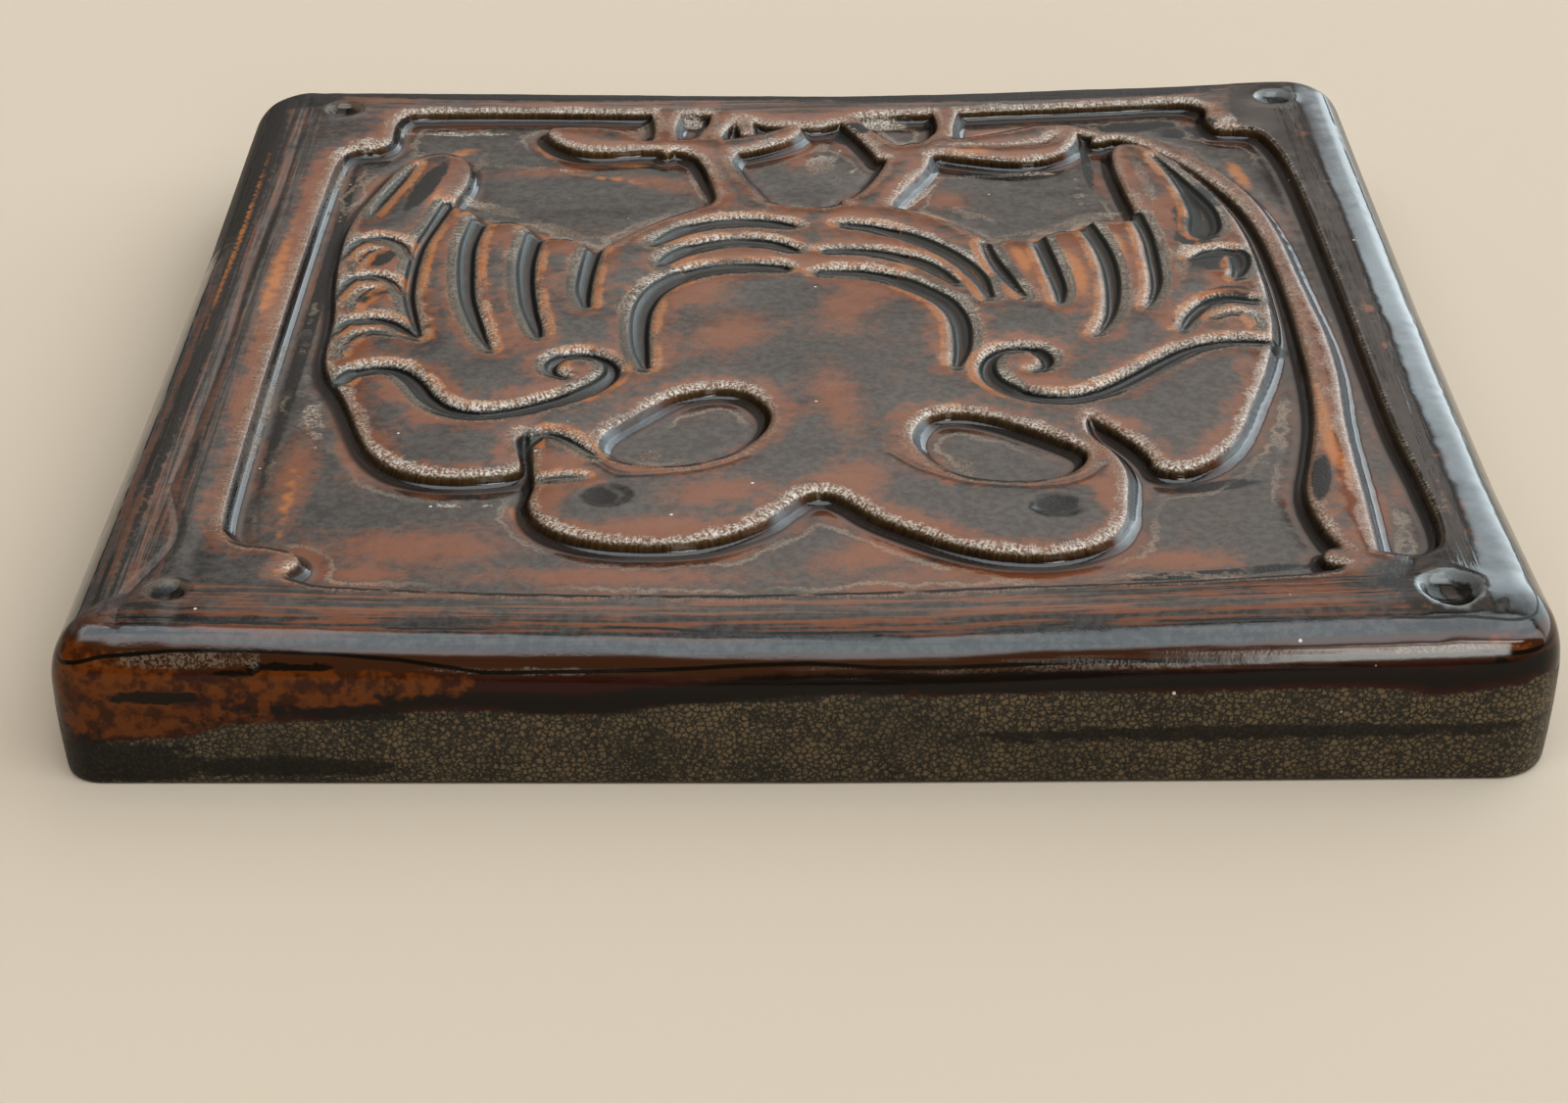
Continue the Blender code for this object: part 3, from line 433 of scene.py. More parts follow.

# Blots of colour in the glaze, and some painted shade among the dark ones: the middle of each, its two
# half sizes and its turn in degrees.
PATCHES = {
    "rust_patch": [
        (-75.5, -58, 18, 3.2, 90), (-57, -78, 14, 6, 0), (-30, -87, 22, 3, 0), (-61, -86, 6, 2.5, 0),
        (-12, -9, 9, 6, 60), (-57, -37, 5, 2.5, 60), (-68, -48, 9, 2, 100), (-36, -53, 4, 3, 70),
        (-37.8, -61, 6, 2, 95), (-13, -62, 8, 4, 20), (-24, -72, 12, 3, 10), (5, -32, 14, 4, 95),
        (7, -58, 6, 5, 60), (36, -28, 4, 3, 40), (46, -43, 4, 3, 60), (44.5, -66, 9, 2.5, 98),
        (30, -86, 18, 3, 0), (52, -84, 12, 3, 0), (10, -80, 8, 4, 30), (79.5, -60, 12, 2.5, 92),
        (90, -45, 32, 1.5, 90), (35, -95, 26, 3.5, 0), (-30, -95, 26, 3, 0), (-86.5, 20, 44, 1.0, 90),
        (-45, 60, 12, 3.2, 10), (-25, 55, 9, 3.4, -20), (-64, 51, 8, 1.6, 85), (-75, 52, 6, 2, 80),
        (-58, 37, 5, 2.2, 20), (-49, 30, 4, 2, 0), (-40, 26, 4, 2, 0), (-30, 71, 9, 3, -10),
        (-42, 73, 5, 3, -30), (-15.5, 52, 9, 2, 100), (-18, 34, 7, 2.2, 30), (-10, 24, 9, 3, 10),
        (35, 77, 8, 2.4, 20), (32, 67, 5, 2.2, 0), (41, 66.5, 5, 2.2, 10), (26, 47, 4, 4, 0),
        (20, 53, 6, 2, 60), (45, 20, 11, 2.5, 92), (37.5, 18, 9, 1.8, 98), (53, 22, 9, 2.2, 92),
        (63.5, 40, 5, 2.5, 90), (12, 38, 8, 2.5, -40), (3, 20, 10, 3, 0), (18, 24, 6, 3, -50),
        (70, 10, 6, 3, 60), (63, -3, 6, 3, 40), (-70, 8, 5, 3, 60), (-72, -14, 7, 2, 80),
        (0, 73, 10, 3, 90), (-3, 86, 8, 2, 0), (55, 55, 4, 6, 0), (25, 90, 14, 2, 0),
        (-50, 90, 20, 2, 0),
        (87, 60, 25, 1.6, 90), (-60, -28, 5, 4, 0), (8, 4, 12, 5, 70), (-16, 10, 8, 5, 80),
    ],
    "amber_patch": [
        (22.4, -35.7, 2.4, 2.2, 0), (-61, 69, 3.4, 1.7, 20), (-46.5, 69, 4.2, 0.9, -62),
        (-53.6, 14, 15, 0.8, 86), (78.5, 54, 9, 1.6, 98), (78, -31, 10, 1.1, 95), (57, 15, 5, 0.6, 95),
        (-37, -56, 3, 1.0, 60), (-41.5, -69, 6, 0.8, 110), (38, -79, 5, 0.5, 20),
        (-24, 70, 4, 1.2, -10),
        (79, -58, 8, 1.0, 90), (-70, 5, 3, 1, 60), (44.5, 17, 6, 1.0, 95), (36, 76, 4, 0.8, 20),
        (-75.5, -64, 14, 0.9, 90), (-72, -84, 3, 1.0, 40), (-16, 50, 4, 0.8, 100),
        (-64, 47, 5, 0.7, 80), (-87.3, 14, 24, 1.5, 90),
        (-95.5, 30, 50, 0.5, 90),
        (45.5, 14, 12, 2.2, 95), (37, 20, 7, 1.4, 98), (53.5, 24, 7, 1.6, 95), (-62.5, 18, 16, 0.7, 88),
        (-44, 14, 12, 0.5, 86), (-57, 39, 3, 1.2, 20), (-47.5, 33, 3, 1.0, 0), (-75, 20, 5, 1.0, 80),
        (-67, 7, 3, 1.0, 90), (78, -45, 16, 1.4, 88), (-19, 31, 7, 1.2, 35), (30, 68, 6, 1.6, 5),
        (-33, 68, 7, 1.4, -12), (35, 76.5, 6, 1.2, 15), (22, 40, 8, 1.2, -35), (-35, 57, 9, 0.9, -18),
    ],
    "tan_patch": [
        (-23.3, -46.5, 2.6, 1.9, 0), (-18.5, -48.3, 2.2, 1.0, 20), (23.5, -50.5, 5.0, 1.9, 118),
        (33, -54.5, 3.0, 1.3, 130), (-43, 34, 6, 2, -40), (31, 29, 5, 1.6, 10), (50, 37, 6, 2, 20),
        (-55, 44, 7, 2.0, -30), (-83, 60, 10, 1.5, 90), (-79, 72, 3, 2.5, 0), (78, 80, 4, 3, 0),
        (21, 50, 9, 0.7, 62), (35, 57.5, 14, 0.7, 3), (24, 38.5, 6, 0.8, -50), (40, 32, 9, 0.9, 18),
        (49.5, 48, 9, 0.7, 88), (-55, 43, 8, 1.3, -35), (-42, 34, 8, 1.3, -38), (-33, 30.5, 4, 1.2, 10),
        (-26, 37, 8, 1.0, 50), (-50, 62, 12, 0.7, -10), (-18, 52, 9, 0.7, 105), (-50, -66, 8, 0.6, 0),
        (-74, -42, 8, 0.7, 95), (-62, 78, 14, 0.8, 2), (-58, 64, 8, 0.8, 80), (8, 58, 7, 0.7, 60),
        (-28, 82, 2.5, 4, 0), (-20, 87, 3, 2, 0), (15, 86, 6, 2, 0), (4, 64, 5, 3, 70),
        (30, 40, 7, 1.5, -40),
        (68, -2, 3, 6, 0), (55, 33, 4, 1.5, 20), (-76, -38, 5, 1.5, 90), (-83, -35, 26, 1.0, 90),
        (64, 18, 10, 1.5, 80), (61, 52, 12, 1.2, 95),
    ],
    # Partly painted shade: the blots at the near right corner and the long strips down the right border
    # stand for dark reflections; the rest are black spots in the glaze.
    "dark_patch": [
        (-30, -62.8, 2.8, 2.8, 0), (36.2, -66, 3.4, 2.6, 0), (68.5, 38, 13, 4.2, 80),
        (70, 17, 6, 4.5, 30),
        (67, 27, 4, 4, 0), (69, 3, 5, 3, 20), (86.5, -91, 9, 9, 0), (89, -80, 3.5, 12, 0),
        (92.4, -8, 110, 1.0, 90), (40, 94.5, 46, 2.6, 0), (-50, 95.5, 42, 2.4, 0),
        (60, 79, 12, 3, 5), (87, 84, 16, 7.5, 90), (87, 58, 20, 5.5, 90),
        (88, 20, 36, 3.6, 90), (89.5, -40, 44, 2.2, 90), (-80, 0, 75, 1.2, 90), (-95, 0, 100, 0.8, 90),
        (-98, 62, 42, 4.5, 90), (-93, 93, 9, 5, 20), (75, -60, 8, 1.6, 80), (0, 96.5, 110, 2.6, 0),
        (72, 75, 6, 3, 0),
        (-66, 52, 13, 2.0, 78), (-70.5, 21, 4, 2, 70), (-70.5, 6, 4, 2, 60), (10, 80, 4, 3, 0),
        (52, 60, 12, 1.0, 90), (-41, -50, 6, 0.8, 95), (60, -62, 8, 1.6, 10), (58, -87.5, 16, 1.0, 6),
    ],
}


def read(table, value):
    """A table of (value, result) pairs, read at any value with straight lines between."""
    return np.interp(value, *zip(*table))


def curl_height(x, y):
    """How far the face stands up at a place: nothing midway across, most at the corners."""
    across = np.clip(2 * x / WIDTH, -1, 1)
    along = (np.clip(2 * y / WIDTH, -1, 1) + 1) / 2
    left = CURL["near left"] * (1 - along) + CURL["far left"] * along
    right = CURL["near right"] * (1 - along) + CURL["far right"] * along
    return np.where(across < 0, left, right) * across ** 2


def true_places(points):
    """The places of a table, with the lean of its reading taken out."""
    places = np.array(points, float)
    places[:, 1] -= READING_LEAN * curl_height(places[:, 0], places[:, 1])
    return places


def smooth_line(points, closed):
    """Points along a smooth line through the given ones; a third number is carried along."""
    given = true_places(points)
    count = len(given)
    line = []
    for k in range(count if closed else count - 1):
        if closed:
            before, start, end, after = (given[(k + j) % count] for j in (-1, 0, 1, 2))
        else:
            before, start = given[max(k - 1, 0)], given[k]
            end, after = given[k + 1], given[min(k + 2, count - 1)]
        pieces = max(1, round(math.dist(start[:2], end[:2]) / LINE_STEP))
        for t in np.arange(pieces) / pieces:
            line.append(0.5 * (
                2 * start + (end - before) * t
                + (2 * before - 5 * start + 4 * end - after) * t ** 2
                + (3 * start - before - 3 * end + after) * t ** 3
            ))
    if not closed:
        line.append(given[-1])
    return np.array(line)


def ribbon(points):
    """The closed outline around a line of (x, y, half width), pointed at both ends."""
    line = smooth_line(points, closed=False)
    along = np.gradient(line[:, :2], axis=0)
    along /= np.linalg.norm(along, axis=1)[:, None]
    side = np.stack([-along[:, 1], along[:, 0]], axis=1) * line[:, 2:3]
    first = line[0, :2] - along[0] * line[0, 2]
    last = line[-1, :2] + along[-1] * line[-1, 2]
    return np.vstack([[first], line[:, :2] - side, [last], (line[:, :2] + side)[::-1]])


def grid_window(low, high):
    """The rows and columns of the grid between two corners."""
    first = np.clip(np.floor((low + HALF) / CELL).astype(int), 0, len(AXIS))
    last = np.clip(np.ceil((high + HALF) / CELL).astype(int) + 1, 0, len(AXIS))
    return slice(first[1], last[1]), slice(first[0], last[0])


def distance_field(outline):
    """Distance to a closed outline over the grid, negative inside, never more than REACH."""
    nearest = np.full(GRID_X.shape, REACH ** 2)
    flips = np.zeros(GRID_X.shape, np.int32)
    for start, end in zip(outline, np.roll(outline, -1, axis=0)):
        run = end - start
        here = grid_window(np.minimum(start, end) - REACH, np.maximum(start, end) + REACH)
        x, y = GRID_X[here] - start[0], GRID_Y[here] - start[1]
        share = np.clip((x * run[0] + y * run[1]) / max(run @ run, TINY), 0, 1)
        away = (x - share * run[0]) ** 2 + (y - share * run[1]) ** 2
        nearest[here] = np.minimum(nearest[here], away)
        rows = np.flatnonzero((start[1] <= AXIS) != (end[1] <= AXIS))
        if len(rows):
            crossing = start[0] + (AXIS[rows] - start[1]) * run[0] / run[1]
            columns = np.clip(np.ceil((crossing + HALF) / CELL).astype(int), 0, len(AXIS) - 1)
            np.add.at(flips, (rows, columns), 1)
    inside = np.cumsum(flips, axis=1) % 2 == 1
    return np.where(inside, -1, 1) * np.sqrt(nearest)


def blurred(field, width):
    """The field smoothed over this width."""
    radius = int(3 * width / CELL)
    weights = np.exp(-0.5 * (np.arange(-radius, radius + 1) * CELL / width) ** 2)
    weights /= weights.sum()
    size = len(AXIS)
    for _ in range(2):
        wide = np.pad(field, ((radius, radius), (0, 0)), mode="edge")
        field = sum(weight * wide[k:k + size] for k, weight in enumerate(weights)).T
    return field


def stretched(values, size):
    """Random values a size apart along the first axis, joined smoothly at the grid's spacing."""
    cell, share = np.divmod((AXIS + HALF) / size, 1)
    weights = [
        (1 - share) ** 3,
        3 * share ** 3 - 6 * share ** 2 + 4,
        -3 * share ** 3 + 3 * share ** 2 + 3 * share + 1,
        share ** 3,
    ]
    rows = cell.astype(int)
    return sum(weight[:, None] / 6 * values[rows + k] for k, weight in enumerate(weights))


def unevenness(size_x, size_y, seed):
    """Smooth random waves about one high, with bumps of this size, over the grid."""
    rows, columns = (int(2 * HALF / size) + 6 for size in (size_y, size_x))
    values = np.random.default_rng(seed).standard_normal((rows, columns))
    waves = stretched(stretched(values, size_y).T, size_x).T
    return waves / waves.std()


def ramp(value, low, high):
    """0 below low, 1 above high, and smooth between them."""
    share = np.clip((value - low) / (high - low), 0, 1)
    return share * share * (3 - 2 * share)


class Face:
    """The carved face on the grid: its depth and the marks that the glaze follows."""

    def __init__(self):
        panel = distance_field(smooth_line(PANEL, True))
        figure = [distance_field(smooth_line(points, True)) for points in FIGURE.values()]
        figure += [distance_field(ribbon(points)) for points in RIDGES.values()]
        raised = np.min(figure, axis=0)
        self.ground = np.minimum(raised, -panel)
        self.low = self.ground.copy()
        self.sunk = ramp(self.ground, 0.5, WALL_RUN)
        self.depth = self.carved() + self.hand_marks()

    def carved(self):
        """The cut forms, softened by the clay and the glaze."""
        depth = PANEL_DEPTH * self.wall(self.ground)
        self.groove = np.full_like(self.ground, -REACH)
        self.cleft = np.full_like(self.ground, -REACH)
        depth += GOUGE * np.exp(-((self.ground - GOUGE_PLACE) / GOUGE_WIDTH) ** 2)
        depth += SLUMP * np.exp(-np.abs(self.ground) / SLUMP_REACH) * (self.ground < 0)
        for cut, points in OVALS.values():
            inward = -distance_field(smooth_line(points, True))
            self.low = np.maximum(self.low, inward)
            depth = self.cut(depth, inward, cut * self.wall(inward))
        for cut, points in GROOVES.values():
            inward = -distance_field(ribbon(points))
            self.low = np.maximum(self.low, inward)
            steep = self.steep_side(inward)
            run = GENTLE_GROOVE + (STEEP_GROOVE - GENTLE_GROOVE) * steep
            depth = self.cut(depth, inward, cut * np.clip(inward / run, 0, 1))
            self.groove = np.maximum(self.groove, inward + CHANNEL_SPREAD * (1 - steep))
            self.cleft = np.maximum(self.cleft, np.where(steep > 0.5, inward, -REACH))
        depth = blurred(depth, SOFTENING)
        for cut, points in CREASES.values():
            inward = -distance_field(ribbon(points))
            depth += cut * np.clip(inward / CREASE_RUN, 0, 1)
        for x, y, radius_x, radius_y, cut in true_places([row[1:] for row in DIMPLES]):
            share = ((GRID_X - x) / radius_x) ** 2 + ((GRID_Y - y) / radius_y) ** 2
            depth = np.maximum(depth, cut * np.sqrt(np.clip(1 - share, 0, 1)))
            depth -= LIP_HEIGHT * cut * np.exp(-((np.sqrt(share) - LIP_PLACE) / LIP_WIDTH) ** 2)
        return blurred(depth, LAST_SOFTENING)

    def wall(self, inward):
        """A wall's share of its depth, by the distance in from its crest."""
        return read(WALL_PROFILE, inward)

    def steep_side(self, inward):
        """1 on a groove's steep side: the one towards the tile's middle, or the one that faces near."""
        upward, rightward = np.gradient(blurred(inward, 0.5), CELL)
        return ramp(0.8 * rightward * np.sign(GRID_X) - 0.6 * upward, -0.1, 0.1)

    def cut(self, depth, inward, cut):
        """The depth with one more cut, whose edge slumps a little."""
        slump = np.exp(-np.abs(inward) / SLUMP_REACH) * (inward < 0) * (1 - self.sunk)
        return np.maximum(depth, cut) + SLUMP_SHARE * SLUMP * slump

    def hand_marks(self):
        """Unevenness of the hand-pressed clay, and the strokes of the tools along the border."""
        side = ramp(np.abs(GRID_X), *BESIDE_PANEL)
        end = ramp(np.abs(GRID_Y), *AT_PANEL_ENDS) * (1 - side)
        where = {"all": 1.0, "side": side, "end": end}
        return sum(
            height * where[place] * unevenness(size_x, size_y, seed)
            for height, size_x, size_y, seed, place in WAVES
        )


def sample(field, places):
    """The field's values at places, read between the grid's points."""
    at = (places + HALF) / CELL
    cell = np.clip(np.floor(at).astype(int), 0, len(AXIS) - 2)
    share = at - cell
    column, row = cell[:, 0], cell[:, 1]
    low = field[row, column] * (1 - share[:, 0]) + field[row, column + 1] * share[:, 0]
    high = field[row + 1, column] * (1 - share[:, 0]) + field[row + 1, column + 1] * share[:, 0]
    return low * (1 - share[:, 1]) + high * share[:, 1]


def slab_ring(inset):
    """The slab's plan outline, drawn in by inset, anticlockwise from the right-hand side."""
    corners = []
    for k, (side_x, side_y, given) in enumerate(CORNERS):
        radius = max(given - inset, LEAST_RADIUS)
        centre = np.array([side_x, side_y]) * (WIDTH / 2 - inset - radius)
        angles = np.radians(90 * (k + np.arange(CORNER_STEPS + 1) / CORNER_STEPS))
        corners.append(centre + radius * np.stack([np.cos(angles), np.sin(angles)], axis=1))
    shares = np.arange(1, SIDE_STEPS)[:, None] / SIDE_STEPS
    ring = []
    for corner, following in zip(corners, corners[1:] + corners[:1]):
        ring += [corner, corner[-1] + (following[0] - corner[-1]) * shares]
    return np.vstack(ring)


def rounding_ring(angle):
    """Inset and drop of a ring of the rounding: 90 degrees is on top, 0 is outside."""
    turn = math.radians(angle)
    return ROUNDING_WIDTH * (1 - math.cos(turn)), ROUNDING_HEIGHT * (1 - math.sin(turn))


def rounding_drop(edge):
    """How far the rounding of the top edge lowers the face."""
    share = np.clip(1 - edge / ROUNDING_WIDTH, 0, 1)
    return ROUNDING_HEIGHT * (1 - np.sqrt(1 - share ** 2))


def sag(x, y):
    """How far the near border hangs below the rest of the face."""
    share = np.clip((SAG_STRIP - WIDTH / 2 - y) / SAG_STRIP, 0, 1)
    return read(NEAR_SAG, x) * share * (2 - share)


def edge_shift(across, along, low, high):
    """How far two opposite edges move a place: all of it at the edge, none inside its strip."""
    reach = (np.abs(across) - WIDTH / 2 + EDGE_STRIP) / EDGE_STRIP
    return np.clip(reach, 0, 1) * np.where(across < 0, -read(low, along), read(high, along))


def placed(places, heights):
    """Points of the tile in metres, with the shifts of its edges and the curl."""
    x, y = places[:, 0], places[:, 1]
    across = x + edge_shift(x, y, LEFT_EDGE, RIGHT_EDGE)
    along = y + edge_shift(y, x, NEAR_EDGE, FAR_EDGE)
    lifted = heights * (1 + (curl_height(x, y) - sag(x, y)) / THICK)
    return np.stack([across, along, lifted], axis=1) * MM


def sheet_points(bend, rim, edge):
    """The rim, then the points inside it: close together where the face bends sharply."""
    rows = math.ceil(WIDTH / (POINT_SPACING * math.sqrt(3) / 2) / 2)
    row, column = np.meshgrid(np.arange(-rows, rows + 1), np.arange(-2 * rows, 2 * rows + 1))
    x = (column + row / 2) * POINT_SPACING
    y = row * POINT_SPACING * math.sqrt(3) / 2
    inside = (np.abs(x) < HALF) & (np.abs(y) < HALF)
    row, column, places = row[inside], column[inside], np.stack([x[inside], y[inside]], axis=1)
    sharpness = sample(bend, places)
    coarse = (row % 4 == 0) & (column % 4 == 0)
    medium = (row % 2 == 0) & (column % 2 == 0) & (sharpness > GENTLE_BEND)
    kept = coarse | medium | (sharpness > SHARP_BEND)
    kept &= sample(edge, places) > rounding_ring(RIM_ANGLE)[0] + RIM_GAP
    return np.vstack([rim, places[kept]])


def make_sheet(bm, face):
    """The carved face. Returns its rim, and the plan place and the run of every point.

    A run is how far down the rounding a point lies. It is below zero on the flat face.
    """
    edge = -distance_field(slab_ring(0))
    heights = THICK - rounding_drop(edge) - face.depth
    bend = blurred(np.abs(heights - blurred(heights, BEND_WIDTH)), BEND_BLUR)
    rim = slab_ring(rounding_ring(RIM_ANGLE)[0])
    places = sheet_points(bend, rim, edge)
    count = len(rim)
    lines = [(k, (k + 1) % count) for k in range(count)]
    points = [Vector(place) for place in places]
    found, _, faces, _, _, _ = delaunay_2d_cdt(points, lines, [], INSIDE_ONLY, CLOSEST)
    places = np.array([tuple(place) for place in found])
    verts = [bm.verts.new(point) for point in placed(places, sample(heights, places))]
    for corners in faces:
        bm.faces.new([verts[k] for k in corners]).smooth = True
    share = np.clip(1 - sample(edge, places) / ROUNDING_WIDTH, 0, 1)
    runs = np.where(share > 0, arc_length(np.arcsin(share)), ROUNDING_WIDTH - sample(edge, places))
    return verts[:count], places, runs


def arc_length(turn):
    """Length of the rounding's profile from its inner end through a turn of its quarter ellipse."""
    turns = np.linspace(0, math.pi / 2, ARC_STEPS)
    speed = np.hypot(ROUNDING_WIDTH * np.cos(turns), ROUNDING_HEIGHT * np.sin(turns))
    lengths = np.concatenate([[0], np.cumsum((speed[1:] + speed[:-1]) / 2) * turns[1]])
    return np.interp(turn, turns, lengths)


def side_rings():
    """Inset, height and run of each ring below the sheet, down to the flat underside."""
    rings = []
    for k in range(1, RIM_STEPS + 1):
        angle = RIM_ANGLE * (1 - k / RIM_STEPS)
        inset, drop = rounding_ring(angle)
        rings.append((inset, THICK - drop, float(arc_length(math.radians(90 - angle)))))
    _, top, run = rings[-1]
    for k in range(1, WALL_RINGS + 1):
        share = k / WALL_RINGS
        fall = (top - BASE_ROUNDING) * share
        rings.append((BASE_INSET * share ** 2, top - fall, run + fall))
    for angle in BASE_ANGLES:
        turn = math.radians(angle)
        inset = BASE_INSET + BASE_ROUNDING * (1 - math.cos(turn))
        rings.append((inset, BASE_ROUNDING * (1 - math.sin(turn)), run + top))
    return rings


def make_sides(bm, upper):
    """The rest of the rounding, the sides and the flat underside.

    Returns the plan place and the run of every new point.
    """
    all_places, all_runs = [], []
    for inset, height, run in side_rings():
        ring = slab_ring(inset)
        lower = [bm.verts.new(point) for point in placed(ring, np.full(len(ring), height))]
        for k in range(len(ring)):
            bm.faces.new((upper[k - 1], upper[k], lower[k], lower[k - 1])).smooth = True
        upper = lower
        all_places.append(ring)
        all_runs += [run] * len(ring)
    bm.faces.new(upper).material_index = 1
    return np.vstack(all_places), np.array(all_runs)


def set_mark(mesh, name, values):
    """Stores one number for each point of the mesh, for its glaze."""
    mark = mesh.attributes.new(name, "FLOAT", "POINT")
    mark.data.foreach_set("value", np.ascontiguousarray(values, np.float32))


def near_share(places):
    """1 on the near side and its corner, 0 on the other sides."""
    return ramp(-places[:, 1] - np.abs(places[:, 0]), -5, 1)


def along_near(table, usual, places):
    """A table's value at each place of the near side, and the usual value on the other sides."""
    share = near_share(places)
    return read(table, places[:, 0]) * share + usual * (1 - share)


def patch_field(face, patches):
    """Soft blots on the grid, from their middles, half sizes and turns in degrees.

    The middles were read on the border's level, which shows a sunk place nearer than it is, so
    a blot moves farther off where the face is sunk.
    """
    field = np.zeros_like(GRID_X)
    for x, y, half_long, half_wide, turn in patches:
        y += READING_LEAN * PANEL_DEPTH * sample(face.sunk, np.array([[x, y + LOOK_FARTHER]]))[0]
        middle, reach = np.array([x, y]), BLOT_REACH * max(half_long, half_wide)
        here = grid_window(middle - reach, middle + reach)
        cosine, sine = math.cos(math.radians(turn)), math.sin(math.radians(turn))
        right, up = GRID_X[here] - x, GRID_Y[here] - y
        along = (right * cosine + up * sine) / half_long
        across = (up * cosine - right * sine) / half_wide
        field[here] = np.maximum(field[here], np.exp(-(along ** 2 + across ** 2)))
    return field


def dot_share():
    """Distance from the nearest dot in a corner, as a share of its radius."""
    share = np.full_like(GRID_X, DOT_REACH)
    for x, y, radius_x, radius_y, _ in true_places([row[1:] for row in DIMPLES]):
        if max(abs(x), abs(y)) > DOTS_BEYOND:
            share = np.minimum(share, np.hypot((GRID_X - x) / radius_x, (GRID_Y - y) / radius_y))
    return share


def side_blots(blots, places, runs):
    """Blots on the near side, from their middles and half sizes along X and down its run."""
    share = np.zeros(len(places))
    for x, run, half_x, half_run in blots:
        reach = ((places[:, 0] - x) / half_x) ** 2 + ((runs - run) / half_run) ** 4
        share = np.maximum(share, np.exp(-SIDE_BLOT_FALL * reach))
    return share * near_share(places)


def face_marks(face):
    """What the glaze follows on the face, each a field on the grid.

    Low is the distance in from the crest of the nearest cut, below zero where the face stands.
    The strands' places stay nearly the same down a wall, so noise over them is drawn out down it.
    Facing is 1 on walls that fall to the far side, and rightward on those that fall to the right.
    """
    slope_y, slope_x = np.gradient(face.depth, CELL)
    fall_y, fall_x = np.gradient(blurred(face.low, 0.5), CELL)
    low = np.clip(face.low, -STRAND_REACH, STRAND_REACH)
    fields = {
        "low": face.low,
        "strand_x": GRID_X - low * fall_x,
        "strand_y": GRID_Y - low * fall_y,
        "fall": face.depth / PANEL_DEPTH,
        "steep": ramp(np.hypot(slope_x, slope_y), *STEEP_SLOPES),
        "facing": blurred(fall_y, 0.3),
        "rightward": blurred(fall_x, 0.4),
        "groove": face.groove,
        "cleft": face.cleft,
        "dot": dot_share(),
        "pool": ramp(face.depth - blurred(face.depth, POOL_WIDTH), *POOL_DEPTHS),
    }
    for name, patches in PATCHES.items():
        fields[name] = patch_field(face, patches)
    return fields


def make_tile(face):
    """The whole tile as one mesh, with the marks that its glaze follows."""
    bm = bmesh.new()
    rim, sheet_places, sheet_runs = make_sheet(bm, face)
    side_places, side_runs = make_sides(bm, rim)
    bmesh.ops.recalc_face_normals(bm, faces=bm.faces)
    mesh = bpy.data.meshes.new("glazed tile")
    bm.to_mesh(mesh)
    bm.free()
    places = np.vstack([sheet_places, side_places])
    runs = np.concatenate([sheet_runs, side_runs])
    set_mark(mesh, "run", runs)
    for name, field in face_marks(face).items():
        set_mark(mesh, name, sample(field, places))
    for name, (table, usual) in NEAR_LINES.items():
        set_mark(mesh, name, runs - along_near(table, usual, places))
    for name, blots in SIDE_BLOTS.items():
        set_mark(mesh, name, side_blots(blots, places, runs))
    tile = bpy.data.objects.new("glazed_tile", mesh)
    bpy.context.scene.collection.objects.link(tile)
    return tile


class Value:
    """A number that nodes work out. Sums, differences and products of values are values too."""

    def __init__(self, nodes, socket):
        self.nodes = nodes
        self.socket = socket

    def __add__(self, other):
        return self.nodes.math("ADD", self, other)

    def __sub__(self, other):
        return self.nodes.math("SUBTRACT", self, other)

    def __rsub__(self, other):
        return self.nodes.math("SUBTRACT", other, self)

    def __mul__(self, other):
        return self.nodes.math("MULTIPLY", self, other)

    __radd__ = __add__
    __rmul__ = __mul__

    def __truediv__(self, other):
        return self.nodes.math("DIVIDE", self, other)

    def __abs__(self):
        return self.nodes.math("ABSOLUTE", self)

    def at_least(self, other):
        """The larger of the two."""
        return self.nodes.math("MAXIMUM", self, other)

    def at_most(self, other):
        """The smaller of the two."""
        return self.nodes.math("MINIMUM", self, other)

    def swing(self, amount):
        """Noise turned into shifts of up to about this amount both ways."""
        return (self - 0.5) * (2 * amount)

    def ramp(self, low, high):
        """0 below low, 1 above high (the other way round if low is the larger)."""
        node = self.nodes.node("ShaderNodeMapRange", interpolation_type="SMOOTHSTEP", clamp=True)
        self.nodes.feed(node.inputs["Value"], self)
        start, end = (0.0, 1.0) if low < high else (1.0, 0.0)
        node.inputs["From Min"].default_value = min(low, high)
        node.inputs["From Max"].default_value = max(low, high)
        node.inputs["To Min"].default_value = start
        node.inputs["To Max"].default_value = end
        return Value(self.nodes, node.outputs["Result"])

    def line(self, middle, half_width):
        """1 where the value is near the middle, fading to 0 a half width away."""
        return abs(self - middle).ramp(half_width, 0.4 * half_width)


